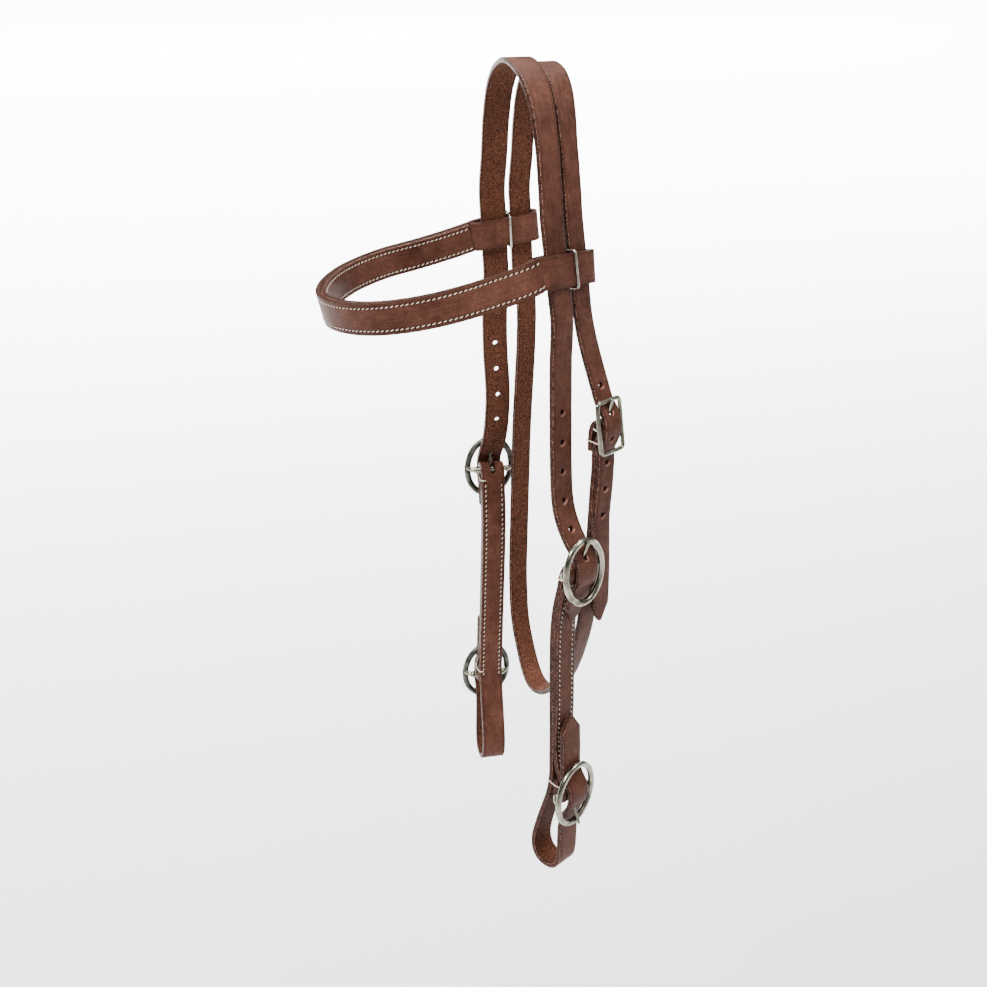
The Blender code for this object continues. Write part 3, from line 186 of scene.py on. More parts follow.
# The throatlatch below its buckle and round the throat: out, down and back shares
THROAT_SHARES = (
    (0.908, 0.720, 1.09), (0.846, 0.786, 1.06), (0.736, 0.840, 1.01), (0.552, 0.900, 0.95),
    (0.245, 0.956, 0.93), (0.0, 0.984, 0.92), (-0.172, 0.996, 0.90), (-0.343, 1.0, 0.90),
    (-0.515, 0.995, 0.92), (-0.699, 0.971, 0.92), (-0.834, 0.933, 0.89), (-0.908, 0.858, 0.87),
    (-0.933, 0.767, 0.90), (-0.945, 0.695, 0.93), (-0.945, 0.573, 0.97), (-0.945, 0.500, 1.02),
    (-0.945, 0.436, 1.06), (-0.938, 0.382, 1.05))
# At the rectangular buckle: down in half frame heights, out in heights over the fold
THROAT_BILLET_SHARES = (
    (-2.3, -0.70), (-1.5, -0.58), (-1.0, -0.10), (-0.52, 0.68), (-0.24, 0.94), (0.0, 1.0),
    (0.24, 0.95), (0.56, 0.69), (1.0, 0.26), (1.5, 0.25), (2.3, 0.25))
# Its billet further down and its end below the bar: shares of THROAT_TIP down, of the heights of
# the two straps out and of THROAT_WIDTH back
THROAT_TAIL_SHARES = (
    (0.30, 0.25, -0.02), (0.44, 0.25, -0.14), (0.61, 0.17, -0.04), (0.79, 0.0, 0.12),
    (1.0, -0.11, 0.15))
THROAT_UNDER_SHARES = ((0.54, 1.4, -0.13), (0.44, 1.1, -0.12), (0.27, 1.0, -0.04),
                       (0.19, 1.0, 0.02))
THROAT_LEAVE_SHARE = 1.1     # out share where it leaves the bar
THROAT_END_SHARE = 0.7       # its sewn end lies flat from this share of THROAT_TURN_BACK

# The browband's middle line: out, forward and down shares, near side first
BROW_SHARES = (
    (1.0, 0.355, 0.867), (0.914, 0.613, 0.922), (0.703, 0.815, 0.962), (0.38, 0.947, 0.989),
    (0.0, 1.0, 1.0), (-0.38, 0.947, 0.991), (-0.703, 0.815, 0.970), (-0.905, 0.613, 0.938),
    (-0.978, 0.355, 0.900))
BROW_TWIST_SHARES = (0.75, 0.4, 0.15, 0.0, 0.0, 0.0, 0.15, 0.4, 0.75)
# How the plies spread into a loop: out share of LOOP_MID, and of LOOP_OVERLAP before the strap
LOOP_IN_SHARES = (0.80, 0.45)
LOOP_OUT_SHARES = (0.86, 0.45)
LOOP_BACK_SHARE = 0.6       # a loop is straight back to this share of the way to its fold
BROW_END_SHARE = 0.014      # length of the stitched part's first division
BAR_BEND_SHARE = 0.35       # where a buckle's bar is bent on its way to the rim

# Numbers of divisions
KNOT_STEPS = 20
FOLD_STEPS = 8
LOOP_STEPS = 8
BROW_STEPS = 28
CORNER_STEPS = 8            # of each corner of a wire
BAR_STEPS = 40
THREAD_STEPS = 24
RIM_STEPS = 96              # round an oval buckle
RIM_SIDES = 24              # round its metal
WIRE_SIDES = 16
THREAD_SIDES = 8
PIN_SIDES = 20
EYE_SIDES = 32
PUNCH_SIDES = 24
BALL_SIDES = (24, 16)       # round and up a ball of a buckle
STITCH_SIDES = (8, 6)
ANGLE_TRIES = 4             # rounds in which a tongue's angle settles
LOOP_STRAIGHTS = (-2, -1, 1, 2)  # knots of the straps in a browband loop, as shares of STRAIGHT

# Sizes that follow from those above
CLOSE = 0.00001                                           # vertices nearer than this are merged
LOOP_SPREAD = HALF_SPREAD - LOOP_INSET
THROAT_BUCKLE_OUT = HALF_SPREAD - THROAT_BUCKLE_INSET
BROW_HALF_SPAN = LOOP_SPREAD + BROW_BULGE
HALF_RING = RING_HEIGHT / 2
FOLD_RADIUS = BAR_RADIUS + BAR_CLEARANCE + LEATHER / 2     # middle of the strap round a bar
OVER_FOLD = FOLD_RADIUS + BILLET_RISE + LEATHER
PLY_OFFSET = (LEATHER + PLY_GAP) / 2
THROAT_FOLD = FRAME_WIRE + BAR_CLEARANCE + THROAT_LEATHER / 2
THROAT_OVER = THROAT_FOLD + THROAT_RISE + THROAT_LEATHER
HALF_FRAME = FRAME_HEIGHT / 2
KEEPER_SPACE = 2 * (KEEPER_WIRE + KEEPER_ROOM)             # between crown strap and throatlatch
THROAT_OFFSET = CHEEK_WIDTH / 2 + KEEPER_SPACE + THROAT_WIDTH / 2
POLL_OFFSET = CHEEK_WIDTH / 2 + POLL_SPACE + THROAT_WIDTH / 2
LOOP_ROOM = SEAT_GAP + BROW_SLIDE * math.tan(math.radians(SPLAY))
LOOP_MID = LEATHER / 2 + LOOP_ROOM + BROW_LEATHER / 2      # ply of a loop from the crown's middle
BROW_PLY = (BROW_LEATHER + PLY_GAP) / 2
STRAIGHT = BROW_WIDTH / 2 + BROW_SLIDE + EDGE_ROUND        # half the straight stretch in a loop
LOOP_STITCH = CHEEK_WIDTH / 2 + LOOP_OVERLAP
SLOT_LENGTH = 2 * LEATHER


class Seat:
    """A place on the headstall with the directions out, back and down there."""

    def __init__(self, origin, out, back, down):
        self.origin, self.out, self.back, self.down = origin, out, back, down

    def at(self, out=0.0, back=0.0, down=0.0):
        """A point given by its distances from the seat."""
        return self.origin + self.out * out + self.back * back + self.down * down

    def knot(self, out=0.0, back=0.0, down=0.0):
        """Such a point as a knot of a strap that lies across the seat."""
        return self.at(out, back, down), self.back

    def moved(self, out=0.0, back=0.0, down=0.0):
        """The seat with the same directions at such a point."""
        return Seat(self.at(out, back, down), self.out, self.back, self.down)

    def matrix(self):
        """Local X is out, local Z is up the strap and local Y is across it."""
        up = -self.down
        across = up.cross(self.out)
        turn = Matrix((self.out, across, up)).transposed().to_4x4()
        return Matrix.Translation(self.origin) @ turn


CHEEK_SEAT = Seat(Vector((0, 0, 0)), Vector((1, 0, 0)), Vector((0, 1, 0)), Vector((0, 0, -1)))


def seat_on(side, origin, turn, lean):
    """A seat whose outer face is turned to the back and which leans back on its way down."""
    level = turned_back(side, turn)
    turn, lean = math.radians(turn), math.radians(lean)
    out = Vector((side * math.cos(turn), math.sin(turn), 0))
    up = Vector((0, 0, 1))
    back = level * math.cos(lean) + up * math.sin(lean)
    down = level * math.sin(lean) - up * math.cos(lean)
    return Seat(origin, out, back, down)


def turned_back(side, turn):
    """The level direction across a strap whose outer face is turned to the back."""
    turn = math.radians(turn)
    return Vector((-side * math.sin(turn), math.cos(turn), 0))


def crown_point(side, out, back, down):
    """A point of the crown strap's middle line from its shares."""
    return Vector((side * out * HALF_SPREAD, back * CHEEK_BACK, LEATHER / 2 - down * CROWN_DROP))


def loop_seat(side):
    """The middle of the crown strap inside one of the browband's loops."""
    down = Vector((side * math.tan(math.radians(SPLAY)), math.tan(math.radians(LOOP_LEAN)), -1))
    down.normalize()
    level = turned_back(side, TURN[side])
    back = (level - down * level.dot(down)).normalized()
    out = down.cross(back) * side
    origin = Vector((side * LOOP_SPREAD, LOOP_BACK[side], LEATHER / 2 - LOOP_DROP[side]))
    return Seat(origin, out, back, down)


def bar_seat(side):
    """The middle of an upper buckle's bar."""
    seat = seat_on(side, crown_point(side, 1, BAR_BACK_SHARE[side], 1), TURN[side], LEAN[side])
    return seat.moved(out=BUCKLE_STAND)


def lower_bar_seat(side):
    """The middle of a lower buckle's bar."""
    return bar_seat(side).moved(out=LOWER_STAND - CHEEK_SET, down=CHEEK_LENGTH)


def throat_seat():
    """The middle of the bar of the throatlatch's buckle."""
    origin = Vector((THROAT_BUCKLE_OUT, THROAT_BUCKLE_BACK, LEATHER / 2 - THROAT_BUCKLE_DROP))
    return seat_on(NEAR, origin, THROAT_TURN, THROAT_LEAN)


def frame_seat():
    """The same bar with the directions of the tilted frame."""
    seat = throat_seat()
    tilt = math.radians(FRAME_TILT)
    out = seat.out * math.cos(tilt) - seat.down * math.sin(tilt)
    down = seat.down * math.cos(tilt) + seat.out * math.sin(tilt)
    return Seat(seat.origin, out, seat.back, down)


class Route:
    """A strap's middle line, smooth through its knots, with the direction across the strap."""

    def __init__(self, knots, square=True):
        self.square = square
        points = [Vector(point) for point, _ in knots]
        across = [Vector(way) for _, way in knots]
        pace = self._pace(points)
        self.points, self.across = [], []
        for i in range(len(points) - 1):
            span = (points[i + 1] - points[i]).length
            for step in range(KNOT_STEPS):
                t = step / KNOT_STEPS
                self.points.append(self._between(points, pace, i, span, t))
                self.across.append(across[i].lerp(across[i + 1], t))
        self.points.append(points[-1])
        self.across.append(across[-1])
        self.reach = [0.0]
        for a, b in zip(self.points, self.points[1:]):
            self.reach.append(self.reach[-1] + (b - a).length)

    @staticmethod
    def _pace(points):
        """The direction of the line at each knot, weighted by the spans beside it."""
        pace = []
        for i in range(len(points)):
            before = points[i] - points[i - 1] if i > 0 else None
            after = points[i + 1] - points[i] if i < len(points) - 1 else None
            if before is None or after is None:
                pace.append((after or before).normalized())
                continue
            mixed = before.normalized() * after.length + after.normalized() * before.length
            pace.append(mixed / (before.length + after.length))
        return pace

    @staticmethod
    def _between(points, pace, i, span, t):
        a = 2 * t ** 3 - 3 * t ** 2 + 1
        b = t ** 3 - 2 * t ** 2 + t
        c = -2 * t ** 3 + 3 * t ** 2
        d = t ** 3 - t ** 2
        return points[i] * a + pace[i] * (span * b) + points[i + 1] * c + pace[i + 1] * (span * d)

    @property
    def length(self):
        return self.reach[-1]

    def place(self, reach):
        """The point, the way along and the way across at a distance from the start."""
        reach = min(max(reach, 0.0), self.length)
        i = min(max(bisect.bisect_right(self.reach, reach) - 1, 0), len(self.points) - 2)
        t = (reach - self.reach[i]) / (self.reach[i + 1] - self.reach[i])
        after = self.points[min(i + 2, len(self.points) - 1)]
        along = (after - self.points[max(i - 1, 0)]).normalized()
        across = self.across[i].lerp(self.across[i + 1], t)
        if self.square:
            across -= along * across.dot(along)
        return self.points[i].lerp(self.points[i + 1], t), along, across.normalized()

    def nearest(self, target):
        """The distance from the start to the place nearest a point."""
        i = min(range(len(self.points)), key=lambda k: (self.points[k] - target).length)
        return self.reach[i]


def fold_knots(seat, radius, leave, start, finish):
    """Knots of a strap that goes round a bar, in the plane of out and down.

    Angles are in degrees from the out direction towards down, and leave turns them all."""
    knots = []
    for i in range(FOLD_STEPS + 1):
        angle = math.radians(leave + start + (finish - start) * i / FOLD_STEPS)
        knots.append(seat.knot(out=radius * math.cos(angle), down=radius * math.sin(angle)))
    return knots


def billet_knots(seat, shares, half, over, under):
    """Knots of a strap that passes over a buckle's bar and under its rim."""
    knots = []
    for down_share, out_share in shares:
        out = out_share * (over if out_share > 0 else under)
        knots.append(seat.knot(out=out, down=down_share * half))
    return knots


def crown_side(side):
    """Knots of the crown strap from just beside the poll down to its pointed end."""
    knots = [(Vector((side * POLL_FLAT / 2, 0, LEATHER / 2)), Vector((0, 1, 0)))]
    for (out, down), back, share in zip(CROWN_SHARES, BACK_SHARES[side], TURN_SHARES):
        knots.append((crown_point(side, out, back, down), turned_back(side, share * TURN[side])))
    loop = loop_seat(side)
    for share in LOOP_STRAIGHTS:
        knots.append(loop.knot(down=share * STRAIGHT))
    for (out, down), back in zip(CROWN_LOW_SHARES, LOW_BACK_SHARES[side]):
        knots.append((crown_point(side, out, back, down), turned_back(side, TURN[side])))
    knots += billet_knots(bar_seat(side), UPPER_BILLET_SHARES, HALF_RING, OVER_FOLD, BUCKLE_STAND)
    return knots


def tongue_angle(stand, half, thick, root):
    """Degrees from the out direction up to a tongue that rests on its rim."""
    over = thick / 2 + SEAT_GAP + root
    angle = math.atan2(half, stand + over)
    for _ in range(ANGLE_TRIES):
        angle = math.atan2(half, stand + over / math.sin(angle))
    return math.degrees(angle)


def tongue_cross(seat, route, angle, way):
    """The place along a strap where a tongue passes through it. way is -1 up and 1 down."""
    angle = math.radians(angle)
    direction = seat.out * math.cos(angle) + seat.down * (way * math.sin(angle))
    best = None
    for reach, point in zip(route.reach, route.points):
        arm = point - seat.origin
        ahead = arm.dot(direction)
        miss = (arm - direction * ahead).length
        if ahead > FOLD_RADIUS + LEATHER and (best is None or miss < best[0]):
            best = (miss, reach)
    return best[1]


def cheek_knots():
    """Knots of one cheek strap in its own plane, from the stitched end at the lower bar, up round
    the upper bar, down to the bit loop and up again through the lower buckle."""
    middle = [(share * CHEEK_LENGTH, -set_share * CHEEK_SET) for share, set_share in CHEEK_SHARES]
    low = CHEEK_SEAT.moved(out=LOWER_STAND - CHEEK_SET, down=CHEEK_LENGTH)
    first_down, first_out = middle[0]
    leave = math.degrees(math.atan2(-first_out, first_down))
    join = [(share * CHEEK_LENGTH, -inset * CHEEK_SET) for share, inset in CHEEK_JOIN_SHARES]
    rise = LOWER_STAND - CHEEK_SET + FOLD_RADIUS - join[0][1]
    come = math.degrees(math.atan2(rise, CHEEK_LENGTH - join[0][0]))

    def ply(offset):
        """The doubled part's middle line, moved to one ply."""
        moved = []
        for i, (down, out) in enumerate(middle):
            before = middle[i - 1] if i > 0 else (0.0, 0.0)
            after = middle[i + 1] if i < len(middle) - 1 else (down + CHEEK_SET, out)
            lean = math.atan2(after[1] - before[1], after[0] - before[0])
            moved.append(CHEEK_SEAT.knot(out=out + offset * math.cos(lean),
                                         down=down - offset * math.sin(lean)))
        return moved

    knots = [low.knot(out=-FOLD_RADIUS, down=-BIT_TURN_SHARE * CHEEK_LENGTH)]
    knots += fold_knots(low, FOLD_RADIUS, 0.0, 180.0, -come)
    knots += [CHEEK_SEAT.knot(out=out, down=down) for down, out in join]
    knots.append(CHEEK_SEAT.knot(out=PLY_OFFSET - CHEEK_SET, down=STRAIGHT_END * CHEEK_LENGTH))
    knots += list(reversed(ply(PLY_OFFSET)))
    knots += fold_knots(CHEEK_SEAT, FOLD_RADIUS, leave, 0.0, -180.0)
    knots += ply(-PLY_OFFSET)
    knots.append(CHEEK_SEAT.knot(out=-PLY_OFFSET - CHEEK_SET, down=STRAIGHT_END * CHEEK_LENGTH))
    for shares in (BIT_IN_SHARES, BIT_FLAT_SHARES, BIT_OUT_SHARES):
        for down_share, out_share in shares:
            knots.append(CHEEK_SEAT.knot(out=out_share * BIT_LOOP_BREADTH - CHEEK_SET,
                                         down=CHEEK_LENGTH + down_share * BIT_LOOP_DROP))
    knots += billet_knots(low, LOWER_BILLET_SHARES[1:], HALF_RING, OVER_FOLD, BUCKLE_STAND)
    return knots, low


def bar_points(stand, half_width, inner):
    """A bar that is bent forward at both ends to meet the rim."""
    bend = half_width - (half_width - inner) * BAR_BEND_SHARE
    side = [(stand, half_width), (stand * BAR_BEND_SHARE, bend), (0.0, inner)]
    right = [Vector((out, across, 0)) for out, across in side]
    left = [Vector((out, -across, 0)) for out, across in reversed(side)]
    return right + left


def turned(profile, segments):
    """A solid turned about Z from a profile of radius and height."""
    bm = bmesh.new()
    line = [bm.verts.new((radius, 0, height)) for radius, height in profile]
    edges = [bm.edges.new(pair) for pair in zip(line, line[1:])]
    bmesh.ops.spin(bm, geom=line + edges, cent=(0, 0, 0), axis=(0, 0, 1), angle=math.tau,
                   steps=segments, use_merge=True)
    bmesh.ops.remove_doubles(bm, verts=bm.verts, dist=CLOSE)
    bmesh.ops.recalc_face_normals(bm, faces=bm.faces)
    return bm


def rounded_rectangle(out, half_across, half_up, corner):
    """Points of a rounded rectangle that stands in the plane of across and up."""
    points = []
    for quarter, (y, z) in enumerate(((1, 1), (-1, 1), (-1, -1), (1, -1))):
        for i in range(CORNER_STEPS + 1):
            angle = math.pi / 2 * (quarter + i / CORNER_STEPS)
            across = y * (half_across - corner) + corner * math.cos(angle)
            up = z * (half_up - corner) + corner * math.sin(angle)
            points.append(Vector((out, across, up)))
    return points


def throat_knots():
    """Knots of the throatlatch, from its pointed end up through the buckle, over the poll, down the
    far side, round the throat and up to the buckle's bar."""
    seat = throat_seat()
    upright = seat_on(NEAR, seat.origin, THROAT_TURN, 0.0)
    knots = []
    for down, out, back in reversed(THROAT_TAIL_SHARES):
        knots.append(upright.knot(out * THROAT_OVER, back * THROAT_WIDTH, down * THROAT_TIP))
    knots += list(reversed(billet_knots(seat, THROAT_BILLET_SHARES[1:-1], HALF_FRAME, THROAT_OVER,
                                        THROAT_OVER)))
    knots += list(reversed(throat_beside_crown(NEAR)))
    knots.append((Vector((0, POLL_OFFSET, LEATHER / 2 - POLL_SAG)), Vector((0, 1, 0))))
    knots += throat_beside_crown(FAR)
    for out, down, back in reversed(THROAT_SHARES):
        angle = -THROAT_FAR_TURN + (THROAT_TURN + THROAT_FAR_TURN) * (out + 1) / 2
        place = Vector((out * HALF_SPREAD, back * THROAT_BACK, LEATHER / 2 - down * THROAT_DROP))
        knots.append((place, turned_back(NEAR, angle)))
    low_out = -(THROAT_LEATHER + 2 * SEAT_GAP) / 2
    for down, out, back in THROAT_UNDER_SHARES:
        knots.append(upright.knot(out * low_out, back * THROAT_WIDTH, down * THROAT_TIP))
    leave_out = low_out * THROAT_LEAVE_SHARE
    knots.append(seat.knot(out=leave_out, down=THROAT_TURN_BACK))
    knots += fold_knots(seat, THROAT_FOLD, THROAT_LEAVE, 0.0, -180.0)
    tail = leave_out - THROAT_LEATHER - PLY_GAP
    knots.append(seat.knot(out=tail, down=THROAT_TURN_BACK * THROAT_END_SHARE))
    knots.append(seat.knot(out=tail, down=THROAT_TURN_BACK))
    return knots


def throat_beside_crown(side):
    """Knots of the throatlatch where it lies behind the crown strap, from the poll down."""
    crown = Route(crown_side(side))
    knots = []
    for i, ((out, down), back) in enumerate(zip(CROWN_SHARES, BACK_SHARES[side])):
        point, _, across = crown.place(crown.nearest(crown_point(side, out, back, down)))
        part = (i + 1) / (len(CROWN_SHARES) + 1)
        place = point + across * (POLL_OFFSET + (THROAT_OFFSET - POLL_OFFSET) * part)
        place.x *= 1 - POLL_NARROW * (1 - part)
        place.z -= POLL_SAG * (1 - part)
        knots.append((place, across))
    loop = loop_seat(side)
    for share in LOOP_STRAIGHTS:
        knots.append(loop.knot(back=THROAT_OFFSET, down=share * STRAIGHT))
    return knots


def brow_middle():
    """The route half way through the stitched part of the browband."""
    up = Vector((0, -math.sin(math.radians(BROW_TILT)), math.cos(math.radians(BROW_TILT))))
    knots = []
    for (out, forward, down), twist in zip(BROW_SHARES, BROW_TWIST_SHARES):
        height = LEATHER / 2 - down * BROW_DROP
        place = Vector((out * BROW_HALF_SPAN, -forward * BROW_REACH, height))
        side = NEAR if out > 0 else FAR
        knots.append((place, up.lerp(loop_up(side), twist).normalized()))
    for side in (NEAR, FAR):
        loop = loop_seat(side)
        end = loop.at(back=-LOOP_STITCH, down=LOOP_STITCH * loop_rise(side))
        drop = SEAM_TURN * math.tan(math.radians(BROW_TILT))
        turn = end - loop.back * SEAM_TURN + loop.down * drop
        ends = [(end, loop_up(side)), (turn, loop_up(side))]
        knots = ends + knots if side == NEAR else knots + list(reversed(ends))
    return Route(knots)


def loop_rise(side):
    """How much the browband rises inside a loop for each length to the back."""
    return math.tan(math.radians(LOOP_RISE[side]))


def loop_up(side):
    """The direction up the browband inside a loop."""
    loop = loop_seat(side)
    rise = math.atan(loop_rise(side))
    return -loop.down * math.cos(rise) - loop.back * math.sin(rise)


def loop_end(side):
    """How far behind the crown strap's middle the fold of a loop has its own middle."""
    slant = BROW_WIDTH / 2 * abs(loop_rise(side))
    room = LOOP_MID - BROW_LEATHER / 2 - SEAT_GAP
    depth = math.sqrt(max(room ** 2 - (THROAT_LEATHER / 2) ** 2, 0.0))
    return THROAT_OFFSET + THROAT_WIDTH / 2 + slant + KEEPER_ROOM - SEAT_GAP - depth


def brow_loop(side, middle):
    """Knots of one loop, from its end at the lining round behind the straps and forward."""
    loop = loop_seat(side)
    end = loop_end(side)
    front = CHEEK_WIDTH / 2
    knots = [(-BROW_PLY, -LOOP_STITCH),
             (-LOOP_MID * LOOP_IN_SHARES[0], -front - LOOP_OVERLAP * LOOP_IN_SHARES[1]),
             (-LOOP_MID, -front), (-LOOP_MID, 0.0), (-LOOP_MID, end * LOOP_BACK_SHARE)]
    for i in range(LOOP_STEPS + 1):
        angle = math.pi / 2 - math.pi * i / LOOP_STEPS
        knots.append((-LOOP_MID * math.sin(angle), end + LOOP_MID * math.cos(angle)))
    knots += [(LOOP_MID, end * LOOP_BACK_SHARE), (LOOP_MID, 0.0), (LOOP_MID, -front),
              (LOOP_MID * LOOP_OUT_SHARES[0], -front - LOOP_OVERLAP * LOOP_OUT_SHARES[1])]
    up, rise = loop_up(side), loop_rise(side)
    knots = [(loop.at(out=out, back=back, down=-back * rise), up) for out, back in knots]
    knots[0] = (knots[0][0], mitre(side, middle))
    return knots


def mitre(side, middle):
    """The direction of the seam between the stitched part and a loop: half way between the two."""
    across = middle.place(0.0 if side == NEAR else middle.length)[2]
    return (across + loop_up(side)).normalized()


def brow_plies(middle):
    """Knots of the browband's outer ply and of its lining, along the stitched part."""
    outer, inner = [], []
    inside = [(i + 0.5) / BROW_STEPS for i in range(1, BROW_STEPS - 1)]
    for share in [0.0, BROW_END_SHARE] + inside + [1.0 - BROW_END_SHARE, 1.0]:
        point, along, across = middle.place(middle.length * share)
        if share in (0.0, 1.0):
            across = mitre(NEAR if share == 0.0 else FAR, middle)
        out = along.cross(across)
        if out.dot(Vector((point.x, point.y, 0))) < 0:
            out = -out
        outer.append((point + out * BROW_PLY, across))
        inner.append((point - out * BROW_PLY, across))
    return outer, inner


# Looks ------------------------------------------------------------------

# Division and edges of the straps
FINE_BEND = 5.0             # degrees that a strap turns from one division to the next
FINE_STEP = 0.0030          # longest division of a straight run
FINE_GAP = 0.0004           # shortest division
ACROSS_STEPS = 4            # divisions of a strap's width
EDGE_SOFT = 0.0008          # rounding of a cut edge
EDGE_SEGMENTS = 3
EDGE_ANGLE = 50.0           # degrees; sharper corners are rounded
STRAP_SHARP = 42.0          # degrees; sharper corners of the settled strap stay sharp
PIECE_SHARP = 40.0          # the same for metal and thread
GLINT_LINE_RANGE = (0.5, 0.87)  # how squarely the painted glint line of an edge faces out of the strap

# Stitching
STITCH_MARGIN = 0.0029      # row's distance from the strap's edge
STITCH_LENGTH = 0.0026
STITCH_SINK = 0.15          # how far a stitch stands out of the face, as a share of its radius
STITCH_SLANT = 0.30         # radians that a stitch leans over its row
THREAD = 0.00033            # radius of the thread
WRAP_THREAD = 0.00045       # radius of a double turn round the edge
CHEEK_PITCH = 0.0040
BROW_PITCH = 0.0034
SEWN_FROM = 0.009           # cheek piece's rows begin this far below the upper bar
SEWN_TO = 0.0107            # and end this far above the lower one, on the outside
SEWN_PAST = 0.0040          # and on the inside
BAR_STEP = 0.0022           # double turn's place above the rows
CHEEK_WRAP = 0.0080         # lower double turn's height above the lower bar
THROAT_WRAP = 0.0104        # throatlatch's double turn below its bar
THROAT_SEARCH = 0.05        # length of the throatlatch's end that holds its fold
OUTER_SEAM_INSET = 0.001    # browband's rows begin this far in from the seam's ends
LINING_SEAM_INSET = 0.0015

# Holes and slots
HALF_FACE = 0.0045          # distance from an edge that a punched wall is given
SLOT_OPEN = SLOT_LENGTH * 0.42
SLOT_HALF = (TONGUE_ROOT + SLOT_CLEARANCE) * 0.75
RIM_LIT = Vector((0, 0.5, -0.866))  # side of a hole's rim that is given a painted glint
RIM_SHARE = 0.85            # how far to that side the painted glint begins, as a share of the radius
HOLE_CHOKE = 0.35           # spare hole's width at the flesh side
HOLE_FLARE = 0.0007         # size of a hole's flared rim
EYE_SOFT = 0.0012           # rounding of the slots for the tongues' eyes

# Metal: what a tongue rests on, as the bar's stand, the frame's half height and its thickness
RING = (RING_STAND, HALF_RING, RIM_THICK)
FRAME = (FRAME_STAND, HALF_FRAME, 2 * FRAME_WIRE)
TONGUE_TIP_ANGLES = (0.0, 0.3, 0.6, 0.9, 1.2, 1.4)
TONGUE_NECK = 0.002         # straight part of a tongue at its eye
TONGUE_EYE_SOFT = 0.0006
BACK_DEPTH = 0.1            # where the darker back, a painted dark reflection, begins, as a share of RIM_THICK

# Marks in the materials, as noise cells in a metre
GRAIN_BROAD = 14.0
GRAIN_CLOUD = 85.0
GRAIN_WORN = 330.0
GRAIN_PORES = 1100.0
GRAIN_STREAKS = (60.0, 900.0, 1.0)  # along and across the strap
FLESH_BROAD = 12.0
FLESH_PATCHES = 120.0
FLESH_FIBRES = 1500.0
EDGE_PATCHES = 90.0
EDGE_FIBRES = 520.0
EDGE_SPOTS = 1250.0
THREAD_STAIN = 160.0
THREAD_TWIST = 2600.0
NICKEL_FILM = 130.0
NICKEL_RUBBING = 900.0
MARGIN_SCALE = 200.0        # turns 5 mm in from the edge into 1
SEAM_SCALE = 900.0          # turns 1.1 mm beside the stitches into 1
EDGE_GLINT_COLOUR = (0.30, 0.16, 0.12)  # pale colour of the painted glints on the cut edges
STAINED_THREAD = (0.66, 0.51, 0.38)
CLEAN_THREAD = (0.90, 0.77, 0.62)

# Stage
FLOOR_HEIGHT = -1.3
FLOOR_GREY = (0.78, 0.78, 0.78, 1)
FLOOR_SIZE = 60.0
LAMPS = (                   # name, place, target, size, watts, spread in degrees
    ("key", (1.1, -1.75, 1.9), (0, 0, -0.15), 0.8, 138, 180),
    ("fill", (1.1, 1.6, 1.7), (0, 0, 0.0), 1.0, 40, 180),
    ("top", (-0.6, 0.2, 2.0), (0, 0, -0.2), 1.2, 42, 180),
    ("backdrop", (-11.0, 3.0, 7.0), (-11.0, 3.0, FLOOR_HEIGHT), 16.0, 12500, 70),
    ("far backdrop", (-27.0, 8.0, 7.0), (-27.0, 8.0, FLOOR_HEIGHT), 26.0, 33000, 70),
)
SKY = (                     # heights from straight down to straight up, and greys
    (0.0, 1.0), (0.49, 1.0), (0.53, 0.12), (0.66, 0.20), (0.82, 0.9), (1.0, 1.0))
SKY_STRENGTH = 1.05
VIEW_PLACE = (0.8661, -0.2671, 0.0847)
VIEW_YAW = 16.148           # degrees
VIEW_PITCH = 23.092
VIEW_LENS = 49.05           # millimetres
SENSOR = 36.0

HERE = Matrix.Identity(4)


class Nodes:
    """Short calls that add shader nodes to a tree and give back what they put out."""

    def __init__(self, tree):
        self.tree = tree

    def give(self, socket, value):
        """Link an output to the socket, or set the socket's own value."""
        if isinstance(value, bpy.types.NodeSocket):
            self.tree.links.new(value, socket)
        else:
            socket.default_value = value

    def add(self, kind, inputs=(), out=0, **settings):
        item = self.tree.nodes.new("ShaderNode" + kind)
        for key, value in settings.items():
            setattr(item, key, value)
        for key, value in dict(inputs).items():
            self.give(item.inputs[key], value)
        return item.outputs[out]

    def noise(self, vector, scale, detail=3.0, rough=0.55):
        return self.add("TexNoise", {"Vector": vector, "Scale": scale, "Detail": detail,
                                     "Roughness": rough})

    def ramp(self, value, *stops):
        """A ramp through stops, each a place and a grey or a colour."""
        out = self.add("ValToRGB", {"Fac": value})
        points = out.node.color_ramp.elements
        while len(points) < len(stops):
            points.new(0.5)
        for point, (place, shade) in zip(points, stops):
            point.position = place
            point.color = (*shade, 1) if isinstance(shade, tuple) else (shade, shade, shade, 1)
        return out

    def mixed(self, fac, *colours, mode="MIX"):
        a, b = [(*value, 1) if isinstance(value, tuple) else value for value in colours]
        return self.add("Mix", {0: fac, 6: a, 7: b}, 2, data_type="RGBA", blend_type=mode)

    def maths(self, operation, *values):
        return self.add("Math", enumerate(values), operation=operation)

    def total(self, *parts):
        """The sum of outputs, each times its share."""
        added = 0.0
        for value, share in parts:
            added = self.maths("MULTIPLY_ADD", value, share, added)
        return added


